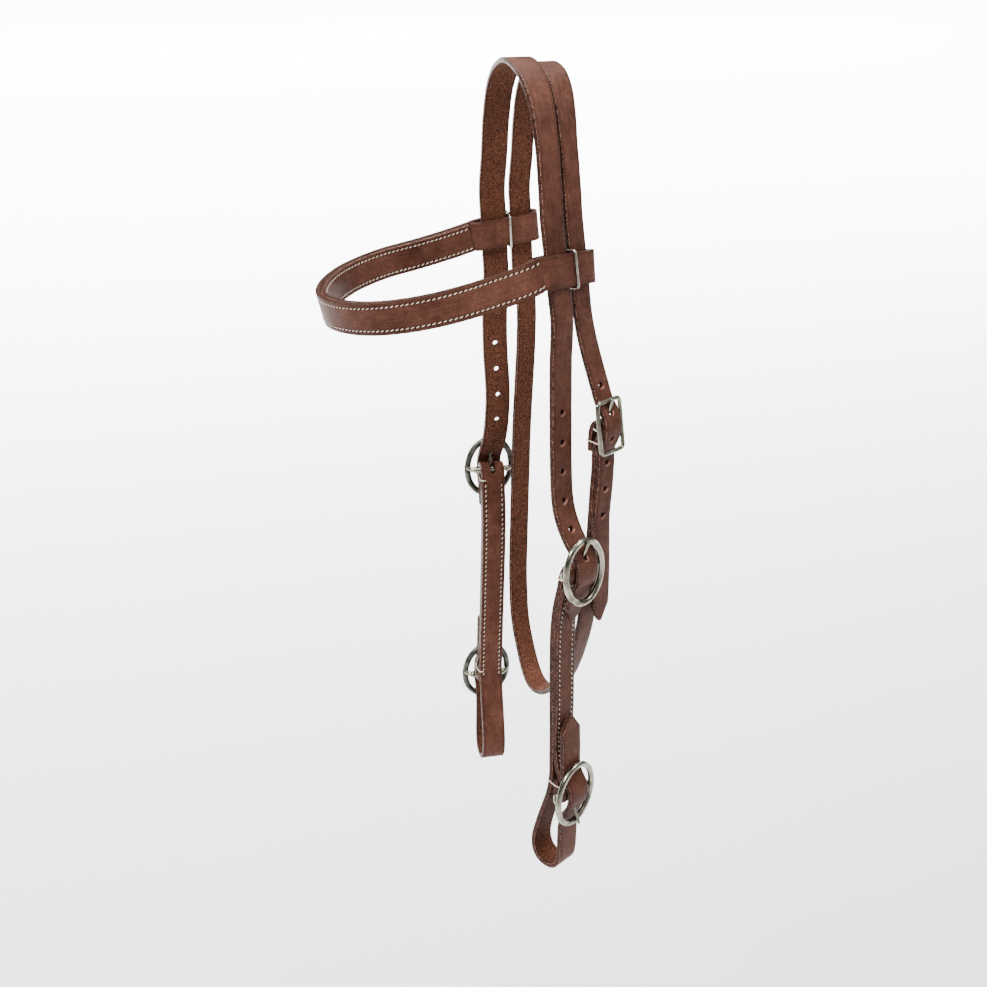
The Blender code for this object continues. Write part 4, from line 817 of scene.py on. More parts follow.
class Finish(Nodes):
    """A material under a maker's plain name, and what its looks are drawn from."""

    def __init__(self, name):
        self.material = bpy.data.materials.new(name)
        self.material.use_nodes = True
        super().__init__(self.material.node_tree)
        self.place = self.add("TexCoord", out="Object")

    def margin(self, out):
        """Distance from the strap's edge (0), or how far along its stitching (1)."""
        return self.add("SeparateXYZ", {0: self.add("UVMap", uv_map="Margin")}, out)

    def done(self, inputs, strength, distance, height):
        """Give the shader its values and its relief."""
        shader = self.tree.nodes["Principled BSDF"]
        for key, value in inputs.items():
            self.give(shader.inputs[key], value)
        bump = self.add("Bump", {"Strength": strength, "Distance": distance, "Height": height})
        self.give(shader.inputs["Normal"], bump)
        return self.material


def shaded(colour, share):
    return tuple(c * share for c in colour)


def between(dark, light):
    return tuple((a + b) / 2 for a, b in zip(dark, light))


def grain_leather(name, dark, light, gloss):
    """The smooth dyed face of the leather, with its creased margins darkened as painted shade."""
    look = Finish(name)
    inset, sewn = look.margin(0), look.margin(1)
    drawn = look.add("Mapping", {"Vector": look.add("UVMap", uv_map="Strip"),
                                 "Scale": GRAIN_STREAKS})
    broad = look.noise(look.place, GRAIN_BROAD)
    cloud = look.noise(look.place, GRAIN_CLOUD, 4.0, 0.6)
    streak = look.noise(drawn, 1.0, 3.0, 0.6)
    pores = look.noise(look.place, GRAIN_PORES, 2.0, 0.6)
    wear_and_glints = look.noise(look.place, GRAIN_WORN, 3.0, 0.65)
    tone = look.total((broad, 0.4125), (cloud, 0.3375), (streak, 0.25))
    colour = look.ramp(tone, (0.36, dark), (0.5, between(dark, light)), (0.64, light))
    pitted = look.ramp(pores, (0.32, 0.42), (0.62, 1.0))
    rubbed = look.ramp(wear_and_glints, (0.34, 0.50), (0.64, 1.0))
    colour = look.mixed(0.55, colour, pitted, mode="MULTIPLY")
    colour = look.mixed(0.45, colour, rubbed, mode="MULTIPLY")
    # The creased line along the margin, in relief, with the margin and the crease groove darkened:
    # painted shade
    wobble = look.maths("SUBTRACT", look.total((inset, MARGIN_SCALE), (cloud, 0.06)), 0.03)
    line = look.ramp(wobble, (0.0, 0.05), (0.13, 0.2), (0.21, 0.5), (0.27, 0.5), (0.31, 0.12),
                     (0.36, 0.15), (0.46, 0.5))
    colour = look.mixed(look.ramp(line, (0.08, 0.62), (0.45, 0.0)), colour, shaded(dark, 0.30))
    # The groove that the stitches lie in, and their pricked holes, in relief and darkened: painted
    # shade in these recesses
    seam = look.maths("ABSOLUTE", look.maths("SUBTRACT", inset, STITCH_MARGIN))
    seam = look.ramp(look.maths("MULTIPLY", seam, SEAM_SCALE), (0.25, 1.0), (0.95, 0.0))
    seam = look.maths("MULTIPLY", seam, look.maths("MINIMUM", sewn, 1.0))
    pricked = look.maths("ABSOLUTE", look.maths("SUBTRACT", look.maths("FRACT", sewn), 0.5))
    pricked = look.maths("MULTIPLY", seam, look.ramp(pricked, (0.25, 0.0), (0.40, 1.0)))
    colour = look.mixed(look.maths("MULTIPLY", seam, 0.35), colour, shaded(dark, 0.4))
    colour = look.mixed(look.maths("MULTIPLY", pricked, 0.75), colour, shaded(dark, 0.12))
    rough = look.ramp(cloud, (0.3, gloss - 0.06), (0.7, gloss + 0.10))
    height = look.total((pores, 0.35), (line, 1.6), (streak, 0.25), (seam, -1.0), (pricked, -1.2))
    return look.done({"Base Color": colour, "Roughness": rough, "Specular IOR Level": 0.06},
                     0.55, 0.0002, height)


def flesh_leather(name, dark, light):
    """The rough split side of the leather, with short fibres in two browns."""
    look = Finish(name)
    fibre = look.noise(look.place, FLESH_FIBRES, 2.0, 0.5)
    patch = look.noise(look.place, FLESH_PATCHES)
    broad = look.noise(look.place, FLESH_BROAD, 2.0)
    tone = look.total((fibre, 0.85), (patch, 0.05), (broad, 0.10))
    colour = look.ramp(tone, (0.46, dark), (0.56, between(dark, light)), (0.66, light))
    inset = look.maths("MULTIPLY", look.margin(0), MARGIN_SCALE)
    rubbed = look.ramp(inset, (0.16, 0.7), (0.34, 0.0))
    colour = look.mixed(rubbed, colour, shaded(dark, 0.5))
    rough = look.ramp(fibre, (0.3, 0.86), (0.7, 0.66))
    return look.done({"Base Color": colour, "Roughness": rough, "Specular IOR Level": 0.08},
                     0.8, 0.0004, fibre)


def edge_leather(name, dark, light, glint=0.0, rarity=0.58):
    """The cut edge, dyed dark and rubbed smooth, with paler spots painted on as glints."""
    look = Finish(name)
    fibre = look.noise(look.place, EDGE_FIBRES, 3.0, 0.65)
    patch = look.noise(look.place, EDGE_PATCHES)
    colour = look.ramp(look.total((fibre, 0.5), (patch, 0.5)), (0.38, dark), (0.66, light))
    # Paler spots, as many as glint and rarity allow: painted glints
    spots = look.noise(look.place, EDGE_SPOTS, 1.0, 0.4)
    wear_and_glints = look.ramp(spots, (rarity, 0.0), (rarity + 0.08, glint))
    colour = look.mixed(wear_and_glints, colour, EDGE_GLINT_COLOUR)
    rough = look.ramp(patch, (0.3, 0.30), (0.7, 0.52))
    return look.done({"Base Color": colour, "Roughness": rough, "Specular IOR Level": 0.07},
                     0.5, 0.0003, fibre)


def waxed_thread(name):
    """Undyed thread, stained in places."""
    look = Finish(name)
    twist = look.noise(look.place, THREAD_TWIST, 2.0)
    stain = look.noise(look.place, THREAD_STAIN, 2.0)
    colour = look.ramp(stain, (0.3, STAINED_THREAD), (0.7, CLEAN_THREAD))
    strands = look.ramp(twist, (0.35, 0.5), (0.6, 1.0))
    colour = look.mixed(0.35, colour, strands, mode="MULTIPLY")
    return look.done({"Base Color": colour, "Roughness": 0.6}, 0.6, 0.0001, twist)


def nickel_plate(name, dark, light, gloss=0.08):
    """Polished nickel with a warm cast, fine rubbing and a duller film in places."""
    look = Finish(name)
    film = look.noise(look.place, NICKEL_FILM, 4.0, 0.6)
    rubbed = look.noise(look.place, NICKEL_RUBBING, 3.0, 0.6)
    colour = look.ramp(film, (0.34, dark), (0.62, light))
    dull = look.ramp(film, (0.3, gloss + 0.12), (0.65, gloss))
    rough = look.total((rubbed, 0.06), (dull, 1.0))
    return look.done({"Base Color": colour, "Roughness": rough, "Metallic": 1.0},
                     0.12, 0.0002, rubbed)


GRAIN = grain_leather("dyed_grain", (0.058, 0.0202, 0.0127), (0.160, 0.0655, 0.0445), 0.46)
FLESH = flesh_leather("flesh_side", (0.030, 0.0104, 0.0060), (0.200, 0.074, 0.041))
# The edge's pale spots are painted glints
EDGE = edge_leather("rubbed_edge_painted_glints", (0.011, 0.0038, 0.0025), (0.056, 0.0196, 0.012), 0.30)
# A paler edge material with dense pale spots for the slanting middle of each soft edge: a painted
# highlight line
GLINT_LINE = edge_leather("edge_painted_glint_line", (0.030, 0.0110, 0.0070), (0.090, 0.034, 0.022),
                        0.95, 0.46)
# Pale leather for one side of each hole's rim: a painted glint
RIM = edge_leather("hole_rim_painted_glint", (0.150, 0.062, 0.042), (0.34, 0.170, 0.128))
HOLE = edge_leather("punched_hole", (0.026, 0.0070, 0.0045), (0.060, 0.0170, 0.0105))
THREAD_FINISH = waxed_thread("waxed_thread")
KEEPER_NICKEL = nickel_plate("keeper_nickel", (0.34, 0.32, 0.26), (0.72, 0.69, 0.60), 0.16)
NICKEL = nickel_plate("polished_nickel", (0.13, 0.12, 0.084), (0.40, 0.38, 0.30))
# A darker copy of the same nickel for the rims' backs: painted dark reflection
PAINTED_DARK_BACK_NICKEL = nickel_plate("nickel_back_painted_dark_reflection", (0.040, 0.042, 0.034), (0.15, 0.15, 0.125), 0.26)

LEATHER_LOOKS = (GRAIN, FLESH, EDGE, HOLE, GLINT_LINE)
TOOL_LOOKS = (HOLE, GRAIN, RIM)


# Pieces ------------------------------------------------------------------

def mesh_of(name, bm, materials=()):
    """A mesh with the shape of bm, which is used up."""
    mesh = bpy.data.meshes.new(name)
    bm.to_mesh(mesh)
    bm.free()
    for material in materials:
        mesh.materials.append(material)
    return mesh


def add_object(name, data):
    item = bpy.data.objects.new(name, data)
    bpy.context.scene.collection.objects.link(item)
    return item


def add_piece(name, bm, materials, body, replaced=()):
    """A piece of the visual model that rides on a body."""
    item = add_object(name, mesh_of(name, bm, materials))
    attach(item, body)
    if replaced:
        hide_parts(*replaced)
    return item


def smoothed(item, angle):
    item.data.shade_smooth()
    item.data.set_sharp_from_angle(angle=math.radians(angle))


def add_hard_piece(name, bm, materials, body, replaced=()):
    """A piece of metal or thread."""
    item = add_piece(name, bm, materials, body, replaced)
    smoothed(item, PIECE_SHARP)


def settle(item):
    """Keep what the piece's modifiers make, as its own mesh."""
    bpy.context.view_layer.update()
    made = item.evaluated_get(bpy.context.evaluated_depsgraph_get())
    done = bpy.data.meshes.new_from_object(made)
    item.modifiers.clear()
    item.data = done


def modify(item, name, kind, **settings):
    modifier = item.modifiers.new(name, kind)
    for key, value in settings.items():
        setattr(modifier, key, value)


def fine_stops(route, extra=()):
    """Distances where the strap is divided: every few millimetres and every few degrees."""
    kept = [0.0]
    last = route.place(0.0)[1]
    for reach in route.reach[1:-1]:
        along = route.place(reach)[1]
        gone = reach - kept[-1]
        bent = along.angle(last, 0.0) > math.radians(FINE_BEND)
        if gone > FINE_STEP or (bent and gone > FINE_GAP):
            kept.append(reach)
            last = along
    kept.append(route.length)
    for reach in extra:
        kept = [k for k in kept if abs(k - reach) > FINE_GAP] + [reach]
    return sorted(kept)


def stitch_count(start, finish, pitch):
    return max(1, round((finish - start) / pitch))


def leather_strap(name, route, size, tips, body, replaced, rows=(), flip=True, matrix=HERE,
                  punches=()):
    """A leather strap along its route, grain side out, with soft dark edges and its holes."""
    width, thick = size
    extra = [abs(at - TIP_LENGTH) for pointed, at in zip(tips, (0.0, route.length)) if pointed]
    for start, finish, _ in rows:
        extra += [start, finish]
    places = fine_stops(route, extra)
    steps = len(places) - 1
    bm = bmesh.new()
    bmesh.ops.create_grid(bm, x_segments=steps, y_segments=ACROSS_STEPS, size=1.0)
    strip, margin = bm.loops.layers.uv.new("Strip"), bm.loops.layers.uv.new("Margin")
    spots = {}
    for vertex in bm.verts:
        reach = places[round((vertex.co.x + 1) / 2 * steps)]
        share = vertex.co.y
        ends = [end for pointed, end in zip(tips, (reach, route.length - reach)) if pointed]
        narrow = min([1.0] + [end / TIP_LENGTH for end in ends])
        half = TIP_FLAT / 2 + (width / 2 - TIP_FLAT / 2) * narrow
        point, _, across = route.place(reach)
        sewn = 0.0
        for start, finish, pitch in rows:
            if start - CLOSE <= reach <= finish + CLOSE:
                count = stitch_count(start, finish, pitch)
                sewn = 1.0 + (reach - start) / (finish - start) * count
        spots[vertex] = ((reach, half * share), (half * (1 - abs(share)), sewn))
        vertex.co = point + across * (half * share)
    for face in bm.faces:
        for corner in face.loops:
            corner[strip].uv, corner[margin].uv = spots[corner.vert]
    if flip:
        bmesh.ops.reverse_faces(bm, faces=bm.faces)
    item = add_piece(name, placed(bm, matrix), LEATHER_LOOKS, body, replaced)
    rim = LEATHER_LOOKS.index(EDGE)
    modify(item, "Thickness", "SOLIDIFY", thickness=thick, offset=0.0, use_even_offset=True,
           material_offset=LEATHER_LOOKS.index(FLESH), material_offset_rim=rim)
    modify(item, "Soft edges", "BEVEL", width=EDGE_SOFT, segments=EDGE_SEGMENTS,
           limit_method="ANGLE", angle_limit=math.radians(EDGE_ANGLE), material=rim)
    for tool in punches:
        modify(item, "Punched", "BOOLEAN", operation="DIFFERENCE", solver="EXACT", object=tool,
               material_mode="TRANSFER")
    settle(item)
    for tool in punches:
        bpy.data.objects.remove(tool, do_unlink=True)
    paint_glint_lines(item.data, route, matrix.to_3x3())
    smoothed(item, STRAP_SHARP)


def paint_glint_lines(mesh, route, turn):
    """Give the slanting middle of each soft edge its own look: a paler line, painted as the
    highlight that the edge catches.
    """
    strip = mesh.uv_layers["Strip"].data
    least, most = GLINT_LINE_RANGE
    for face in mesh.polygons:
        if face.material_index == LEATHER_LOOKS.index(EDGE):
            reach = sum(strip[k].uv.x for k in face.loop_indices) / face.loop_total
            _, along, across = route.place(reach)
            if least < abs(face.normal.dot(turn @ across.cross(along))) < most:
                face.material_index = LEATHER_LOOKS.index(GLINT_LINE)


def placed(bm, matrix):
    bmesh.ops.transform(bm, matrix=matrix, verts=bm.verts)
    return bm


def turned_over(bm, angle, axis):
    bmesh.ops.rotate(bm, cent=(0, 0, 0), matrix=Matrix.Rotation(angle, 3, axis), verts=bm.verts)
    return bm


def joined(first, *others):
    """Add the shapes of the other meshes to the first."""
    for other in others:
        mesh = mesh_of("joined", other)
        first.from_mesh(mesh)
        bpy.data.meshes.remove(mesh)
    return first


def tool_object(name, bm):
    """A shape to cut with, which leaves the look of a punched wall."""
    mesh = mesh_of(name, bm, TOOL_LOOKS)
    for corner in mesh.uv_layers.new(name="Margin").data:
        corner.uv = (HALF_FACE, 0)
    return add_object(name, mesh)


def hole_punch(route, reach, radius, thick, length=0.0, matrix=HERE, choke=1.0):
    """A round punch whose ends flare, as the rim of a punched hole does, or a slot. A choked hole
    has closed up on its way to the flesh side."""
    point, along, across = route.place(reach)
    half = thick / 2
    tight = radius * choke
    flare = HOLE_FLARE
    profile = [(0, -half - CUT), (tight + flare * 3, -half - CUT), (tight + flare, -half),
               (tight, -half + flare), (radius, flare - half / 2), (radius, half - flare),
               (radius + flare * 0.8, half - flare * 0.3), (radius + flare * 2, half),
               (radius + flare * 4, half + CUT), (0, half + CUT)]
    bm = turned(profile, PUNCH_SIDES)
    for face in bm.faces:
        height = face.calc_center_median().z
        face.material_index = int(half - flare * 1.1 < height < half + CUT / 2)
    if length:
        for vertex in bm.verts:
            if abs(vertex.co.x) > CLOSE:
                vertex.co.x += math.copysign(length / 2, vertex.co.x)
    turn = Matrix((along, -across, across.cross(along))).transposed().to_4x4()
    placed(bm, matrix @ (Matrix.Translation(point) @ turn))
    middle = sum((vertex.co for vertex in bm.verts), Vector()) / len(bm.verts)
    grain, rim = TOOL_LOOKS.index(GRAIN), TOOL_LOOKS.index(RIM)
    # Flare faces on the RIM_LIT side take the pale RIM material: a painted glint on the hole's rim
    for face in bm.faces:
        off = face.calc_center_median() - middle
        if face.material_index == grain and off.dot(RIM_LIT) > radius * RIM_SHARE:
            face.material_index = rim
    return tool_object("punch", bm)


def tongue_slot(seat, route, buckle, thick, way, matrix=HERE):
    """The slot that a buckle's tongue goes through, and how far along the strap it is."""
    angle = tongue_angle(*buckle, TONGUE_TIP) - TONGUE_LIFT / 2
    cross = tongue_cross(seat, route, angle, way)
    return cross, hole_punch(route, cross, SLOT_HALF, thick, SLOT_OPEN, matrix)


def eye_slot(eye, fold, thick, matrix, low=None):
    """The block that opens a fold for its tongue's eye, at the strap's own bar or a lower one."""
    eye, reach = eye + thick / 2, fold + thick / 2 + EYE_MARGIN
    centre, deep = Vector((0, 0, (reach - eye) / 2)), reach
    if low:
        centre = low.origin + Vector((reach * EYE_SHIFT_SHARE, 0, -(reach - eye) / 2))
        deep = reach * EYE_DEPTH_SHARE
    bm = bmesh.new()
    bmesh.ops.create_cube(bm, size=1.0)
    sizes = Vector((2 * deep, EYE_WIDTH + 2 * SLOT_CLEARANCE, reach + eye))
    bmesh.ops.scale(bm, vec=sizes, verts=bm.verts)
    edges = [e for e in bm.edges if abs(e.verts[0].co.y - e.verts[1].co.y) < CLOSE]
    bmesh.ops.bevel(bm, geom=edges, offset=EYE_SOFT, segments=EDGE_SEGMENTS, profile=0.5,
                    affect="EDGES", material=-1)
    bmesh.ops.translate(bm, vec=centre, verts=bm.verts)
    return tool_object("eye_slot", placed(bm, matrix))


def ball(sides, radius):
    bm = bmesh.new()
    bmesh.ops.create_uvsphere(bm, u_segments=sides[0], v_segments=sides[1], radius=radius)
    return bm


def stitch_row(bm, route, off, row, thick, slant, matrix=HERE, side=1.0):
    """A row of stitches, short rounded threads that dip into the strap's face at both ends."""
    start, finish, pitch = row
    count = stitch_count(start, finish, pitch)
    for i in range(count):
        point, along, across = route.place(start + (finish - start) * (i + 0.5) / count)
        normal = across.cross(along) * side
        lean = along * math.cos(slant) + across * math.sin(slant)
        turn = Matrix((lean.cross(normal), normal, lean)).transposed().to_4x4()
        lift = thick / 2 + THREAD * STITCH_SINK
        place = Matrix.Translation(point + across * off + normal * lift) @ turn
        size = Matrix.Diagonal((THREAD, THREAD * 0.9, STITCH_LENGTH / 2, 1.0))
        joined(bm, placed(ball(STITCH_SIDES, 1.0), matrix @ place @ size))


def tube(points, radius, flat, closed=False, sides=WIRE_SIDES):
    """A round wire whose line lies in the plane square to flat."""
    bm = bmesh.new()
    last = len(points) - 1
    steps = last + closed
    bmesh.ops.create_grid(bm, x_segments=steps, y_segments=sides, size=1.0)
    for vertex in bm.verts:
        i = round((vertex.co.x + 1) / 2 * steps) % len(points)
        angle = math.pi * (vertex.co.y + 1)
        after = points[(i + 1) % len(points)] if closed else points[min(i + 1, last)]
        before = points[i - 1] if closed or i else points[0]
        up = (after - before).normalized().cross(flat)
        vertex.co = points[i] + (flat * math.cos(angle) + up * math.sin(angle)) * radius
    bmesh.ops.remove_doubles(bm, verts=bm.verts, dist=CLOSE)
    rims = [edge for edge in bm.edges if edge.is_boundary]
    bmesh.ops.holes_fill(bm, edges=rims, sides=0)
    bmesh.ops.recalc_face_normals(bm, faces=bm.faces)
    return bm


def eased(points, steps):
    """More points on a smooth line through these."""
    route = Route([(point, Vector((0, 0, 1))) for point in points], square=False)
    return [route.place(route.length * i / steps)[0] for i in range(steps + 1)]


def bar_wire(stand, half, inner, radius):
    """A buckle's bar, which bends back from both sides of the rim."""
    line = eased(bar_points(stand, half, inner), BAR_STEPS)
    return tube(line, radius, Vector((0, 0, 1)))


def make_crown():
    """The crown strap, from the near billet over the poll to the far one."""
    near, far = crown_side(NEAR), crown_side(FAR)
    route = Route(list(reversed(near)) + far)
    punches = []
    for side, choke in ((NEAR, HOLE_CHOKE), (FAR, 1.0)):
        cross, slot = tongue_slot(bar_seat(side), route, RING, LEATHER, -1)
        punches.append(slot)
        for i in range(SPARE_HOLES):
            reach = cross + side * (i + 1) * HOLE_PITCH
            punches.append(hole_punch(route, reach, HOLE_RADIUS, LEATHER, choke=choke))
    leather_strap("crown_strap_leather", route, (CHEEK_WIDTH, LEATHER), (True, True), "crown",
                  ("crown_strap",), punches=punches)


def make_throatlatch():
    """The throatlatch with its holes and the sewn end behind its buckle."""
    route = Route(throat_knots())
    seat = throat_seat()
    cross, slot = tongue_slot(frame_seat(), route, FRAME, THROAT_LEATHER, -1)
    punches = [slot]
    for i in THROAT_HOLES:
        reach = cross + i * THROAT_PITCH
        punches.append(hole_punch(route, reach, HOLE_RADIUS, THROAT_LEATHER, choke=HOLE_CHOKE))
    punches.append(eye_slot(THROAT_EYE_RADIUS, THROAT_FOLD, THROAT_LEATHER, seat.matrix()))
    leather_strap("throatlatch_leather", route, (THROAT_WIDTH, THROAT_LEATHER), (True, False),
                  "crown", ("throatlatch_strap",), punches=punches)
    start = route.length - THROAT_SEARCH
    fold = deep_place(route, start, route.length, seat, -THROAT_FOLD)
    ends = (deep_place(route, start, fold, seat, THROAT_WRAP),
            deep_place(route, fold, route.length, seat, THROAT_WRAP))
    bm = bmesh.new()
    wrap_edge(bm, route, ends, THROAT_WIDTH, THROAT_LEATHER, -1)
    add_hard_piece("throatlatch_stitching", bm, (THREAD_FINISH,), "crown")


def deep_place(route, start, finish, seat, depth):
    """The distance along the strap, between two others, where it lies this far below a seat."""
    def miss(k):
        return abs((route.points[k] - seat.origin).dot(seat.down) - depth)
    inside = [k for k, reach in enumerate(route.reach) if start <= reach <= finish]
    return route.reach[min(inside, key=miss)]


def wrap_edge(bm, route, ends, width, thick, way, matrix=HERE):
    """A thread round the edges of two plies, from a hole in one to a hole in the other."""
    radius = WRAP_THREAD
    hole, edge = way * (width / 2 - STITCH_MARGIN), way * width / 2
    bends = ((hole, thick / 2 - radius), (hole, thick / 2 + radius * 0.4),
             (edge, thick / 2 + radius * 0.3), (edge + way * radius * 0.5, thick / 4))
    points = []
    for turn, reach in enumerate(ends):
        point, along, across = route.place(reach)
        normal = across.cross(along)
        part = [point + across * off + normal * lift for off, lift in bends]
        points += reversed(part) if turn else part
    flat = route.place(ends[0])[1]
    thread = tube(eased(points, THREAD_STEPS), radius, flat, sides=THREAD_SIDES)
    joined(bm, placed(thread, matrix))


def make_cheek(side, label):
    """A cheek piece with its two rows of stitching and its sewn folds."""
    knots, low = cheek_knots()
    matrix = bar_seat(side).matrix()
    route = Route(knots)
    body, slot = f"{label}_cheek", f"{label}_cheek_strap_leather"
    punches = [tongue_slot(low, route, RING, LEATHER, 1, matrix)[1],
               eye_slot(EYE_RADIUS, FOLD_RADIUS, LEATHER, matrix),
               eye_slot(EYE_RADIUS, FOLD_RADIUS, LEATHER, matrix, low)]
    foot = route.nearest(low.origin + low.down * FOLD_RADIUS)
    top = foot + CHEEK_LENGTH + 2 * FOLD_RADIUS
    fold = deep_place(route, foot, top, CHEEK_SEAT, -FOLD_RADIUS)
    outside, inside = (foot, fold), (fold, fold + CHEEK_LENGTH * 1.1)
    rows = []
    for ply, depths in ((outside, (CHEEK_LENGTH - SEWN_TO, SEWN_FROM)),
                        (inside, (SEWN_FROM, CHEEK_LENGTH - SEWN_PAST))):
        ends = [deep_place(route, *ply, CHEEK_SEAT, depth) for depth in depths]
        rows.append((*ends, CHEEK_PITCH))
    leather_strap(f"{label}_cheek_leather", route, (CHEEK_WIDTH, LEATHER), (False, True), body,
                  (f"{label}_cheek_strap",), rows, matrix=matrix, punches=punches)
    bm = bmesh.new()
    for row in rows:
        for off in (-1, 1):
            stitch_row(bm, route, off * (CHEEK_WIDTH / 2 - STITCH_MARGIN), row, LEATHER,
                       -side * STITCH_SLANT, matrix)
    for depth in (SEWN_FROM - BAR_STEP, CHEEK_LENGTH - CHEEK_WRAP):
        ends = [deep_place(route, *ply, CHEEK_SEAT, depth) for ply in (outside, inside)]
        wrap_edge(bm, route, ends, CHEEK_WIDTH, LEATHER, -side, matrix)
    add_hard_piece(f"{label}_cheek_stitching", bm, (THREAD_FINISH,), body)


def make_browband():
    """The browband's two plies, its loops and the stitching that holds the plies together."""
    middle = brow_middle()
    outer, inner = brow_plies(middle)
    far_loop = list(reversed(brow_loop(FAR, middle)))
    route = Route(brow_loop(NEAR, middle) + outer + far_loop, square=False)
    trim = SEAT_GAP * 2 / (inner[1][0] - inner[0][0]).length
    inner[0] = (inner[0][0].lerp(inner[1][0], trim), inner[0][1])
    inner[-1] = (inner[-1][0].lerp(inner[-2][0], trim), inner[-1][1])
    lining = Route(inner, square=False)
    outer_row = (route.nearest(outer[0][0]) + OUTER_SEAM_INSET,
                 route.nearest(outer[-1][0]) - OUTER_SEAM_INSET, BROW_PITCH)
    lining_row = (LINING_SEAM_INSET, lining.length - LINING_SEAM_INSET, BROW_PITCH)
    for ply, line, row in (("outer", route, outer_row), ("lining", lining, lining_row)):
        leather_strap(f"browband_{ply}_leather", line, (BROW_WIDTH, BROW_LEATHER), (False, False),
                      "browband", (f"browband_{ply}",), (row,),
                      flip=ply == "outer")
    bm = bmesh.new()
    for way in (-1, 1):
        off = way * (BROW_WIDTH / 2 - STITCH_MARGIN)
        stitch_row(bm, route, off, outer_row, BROW_LEATHER, -STITCH_SLANT)
        stitch_row(bm, lining, off, lining_row, BROW_LEATHER, STITCH_SLANT, side=-1.0)
    add_hard_piece("browband_stitching", bm, (THREAD_FINISH,), "browband")


def make_oval_frame(name, side, seat, roll, body):
    """An oval buckle frame: rim, centre bar and the two balls at the bar's ends."""
    roll = math.radians(roll)
    tall, wide = RING_HEIGHT / 2, RING_WIDTH / 2
    rim = bmesh.new()
    bmesh.ops.create_circle(rim, segments=RIM_SIDES, radius=RIM_WIDTH / 2)
    turned_over(rim, math.pi / 2, "X")
    bmesh.ops.translate(rim, vec=(wide, 0, 0), verts=rim.verts)
    bmesh.ops.spin(rim, geom=rim.verts[:] + rim.edges[:], cent=(0, 0, 0), axis=(0, 0, 1),
                   angle=math.tau, steps=RIM_STEPS, use_merge=True)
    bmesh.ops.remove_doubles(rim, verts=rim.verts, dist=CLOSE)
    for vertex in rim.verts:
        angle = math.atan2(vertex.co.y, vertex.co.x)
        off = math.hypot(vertex.co.x, vertex.co.y) - wide
        normal = Vector((math.cos(angle) / wide, math.sin(angle) / tall)).normalized()
        back = wide * math.cos(angle) + off * normal.x
        up = tall * math.sin(angle) + off * normal.y
        across = (back * math.cos(roll) + up * math.sin(roll)) * side
        lift = up * math.cos(roll) - back * math.sin(roll)
        vertex.co = Vector((RING_STAND + vertex.co.z * RIM_THICK / RIM_WIDTH, across, lift))
    bmesh.ops.recalc_face_normals(rim, faces=rim.faces)
    # Faces behind the rim's front get the darker copy of the nickel: painted dark reflection
    for face in rim.faces:
        depth = RING_STAND - face.calc_center_median().x
        face.material_index = int(depth > RIM_THICK * BACK_DEPTH)
    ball_at = CHEEK_WIDTH / 2 + SEAT_GAP * 2 + BALL_RADIUS
    parts = [bar_wire(RING_STAND, wide, ball_at, BAR_RADIUS)]
    for end in (1, -1):
        shift = Matrix.Translation((0, end * ball_at, 0))
        parts.append(placed(ball(BALL_SIDES, BALL_RADIUS), shift))
    add_hard_piece(name.replace("_frame", "_rim"), placed(joined(rim, *parts), seat.matrix()),
                   (NICKEL, PAINTED_DARK_BACK_NICKEL), body, (name,))


def make_tongue(name, seat, buckle, bar, eye_radius, way, body):
    """A tongue: a pin that narrows to its rounded tip, with the eye that turns on the bar."""
    angle = math.radians(tongue_angle(*buckle, TONGUE_TIP))
    length = buckle[1] / math.sin(angle) + TONGUE_OVERHANG
    start = (bar + BAR_CLEARANCE + eye_radius) / 2
    tip = [(TONGUE_TIP * math.cos(t), length - TONGUE_TIP + TONGUE_TIP * math.sin(t))
           for t in TONGUE_TIP_ANGLES]
    root = [(0, start), (TONGUE_ROOT, start), (TONGUE_ROOT, start + TONGUE_NECK)]
    pin = turned(root + tip + [(0, length)], PIN_SIDES)
    turned_over(pin, math.pi / 2 - angle, "Y")
    if way < 0:
        turned_over(pin, 2 * angle, "Y")
    inner, wide, soft = bar + BAR_CLEARANCE, EYE_WIDTH / 2, TONGUE_EYE_SOFT
    profile = [(inner, -wide), (eye_radius - soft, -wide), (eye_radius, soft - wide),
               (eye_radius, wide - soft), (eye_radius - soft, wide), (inner, wide), (inner, -wide)]
    eye = turned_over(turned(profile, EYE_SIDES), math.pi / 2, "X")
    add_hard_piece(name + "_pin", placed(joined(pin, eye), seat.matrix()), (NICKEL,), body,
                   (name,))


def make_rectangular_frame():
    """The throatlatch's buckle frame: a rectangle of wire with a bar behind its middle."""
    half = FRAME_WIDTH / 2
    points = rounded_rectangle(FRAME_STAND, half, HALF_FRAME, FRAME_CORNER)
    ring = tube(points, FRAME_WIRE, Vector((1, 0, 0)), closed=True)
    bar = bar_wire(FRAME_STAND, half, THROAT_WIDTH / 2 + SEAT_GAP * 2, FRAME_WIRE)
    add_hard_piece("throat_buckle_wire", placed(joined(ring, bar), frame_seat().matrix()),
                   (NICKEL,), "crown", ("throat_buckle_frame",))


def make_keeper(side, label):
    """A wire keeper bent round a loop of the browband, between the crown strap and throatlatch."""
    back = CHEEK_WIDTH / 2 + KEEPER_SPACE / 2
    slope = abs(loop_rise(side))
    half_up = BROW_WIDTH / 2 * math.hypot(1, slope) + KEEPER_WIRE * slope + SEAT_GAP + KEEPER_WIRE
    half_out = LOOP_MID + BROW_LEATHER / 2 + SEAT_GAP + KEEPER_WIRE
    place = loop_seat(side).moved(back=back, down=-back * loop_rise(side))
    flat = rounded_rectangle(0.0, half_out, half_up, KEEPER_CORNER)
    points = [Vector((point.y, point.x, point.z)) for point in flat]
    wire = tube(points, KEEPER_WIRE, Vector((0, 1, 0)), closed=True)
    add_hard_piece(f"{label}_keeper_wire", placed(wire, place.matrix()), (KEEPER_NICKEL,),
                   f"{label}_keeper",
                   (f"{label}_browband_keeper",))


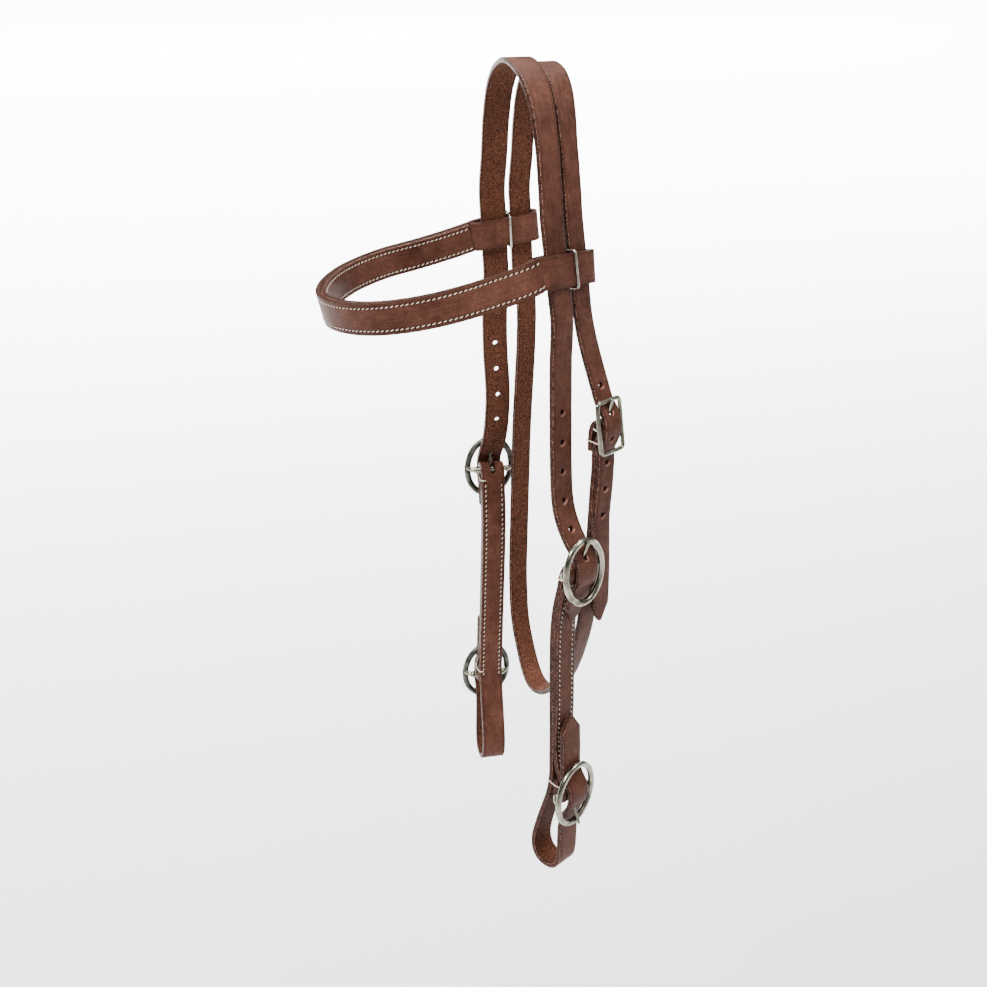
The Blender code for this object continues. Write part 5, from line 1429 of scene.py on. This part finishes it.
def make_headstall():
    make_crown()
    make_throatlatch()
    make_browband()
    make_rectangular_frame()
    make_tongue("throat_buckle_tongue", frame_seat(), FRAME, FRAME_WIRE, THROAT_EYE_RADIUS, 1,
                "throat_tongue")
    for side, label in ((NEAR, "near"), (FAR, "far")):
        make_cheek(side, label)
        make_keeper(side, label)
        ends = (("upper", bar_seat(side), UPPER_ROLL, 1, "crown"),
                ("lower", lower_bar_seat(side), LOWER_ROLL, -1, f"{label}_cheek"))
        for end, seat, roll, _, body in ends:
            make_oval_frame(f"{label}_{end}_buckle_frame", side, seat, roll[side], body)
        for end, seat, _, way, _ in ends:
            make_tongue(f"{label}_{end}_buckle_tongue", seat, RING, BAR_RADIUS, EYE_RADIUS, way,
                        f"{label}_{end}_tongue")


# Floor, light and camera ---------------------------------------------------

def aim(item, place, forward):
    item.location = place
    item.rotation_mode = "QUATERNION"
    item.rotation_quaternion = forward.to_track_quat("-Z", "Y")


def make_stage():
    bm = bmesh.new()
    bmesh.ops.create_grid(bm, x_segments=1, y_segments=1, size=FLOOR_SIZE)
    bmesh.ops.translate(bm, vec=(0, 0, FLOOR_HEIGHT), verts=bm.verts)
    material = bpy.data.materials.new("studio_floor")
    material.use_nodes = True
    inputs = material.node_tree.nodes["Principled BSDF"].inputs
    inputs["Base Color"].default_value = FLOOR_GREY
    inputs["Roughness"].default_value = 0.9
    inputs["Specular IOR Level"].default_value = 0.0
    add_object("studio_floor", mesh_of("studio_floor", bm, (material,)))
    world = bpy.data.worlds.new("studio")
    world.use_nodes = True
    bpy.context.scene.world = world
    sky = Nodes(world.node_tree)
    height = sky.add("SeparateXYZ", {0: sky.add("TexCoord", out="Generated")}, 2)
    background = world.node_tree.nodes["Background"].inputs
    sky.give(background["Color"], sky.ramp(sky.maths("MULTIPLY_ADD", height, 0.5, 0.5), *SKY))
    sky.give(background["Strength"], SKY_STRENGTH)
    for name, place, target, size, power, spread in LAMPS:
        light = bpy.data.lights.new(name, "AREA")
        light.size, light.energy, light.spread = size, power, math.radians(spread)
        aim(add_object(name, light), place, Vector(target) - Vector(place))
    camera = bpy.data.cameras.new("photo_view")
    camera.sensor_width = SENSOR
    camera.lens = VIEW_LENS
    item = add_object("photo_view", camera)
    yaw, pitch = math.radians(VIEW_YAW), math.radians(VIEW_PITCH)
    level = math.cos(pitch)
    aim(item, VIEW_PLACE, Vector((-math.cos(yaw) * level, math.sin(yaw) * level,
                                  -math.sin(pitch))))
    bpy.context.scene.camera = item


make_stage()
make_headstall()
bpy.context.view_layer.update()
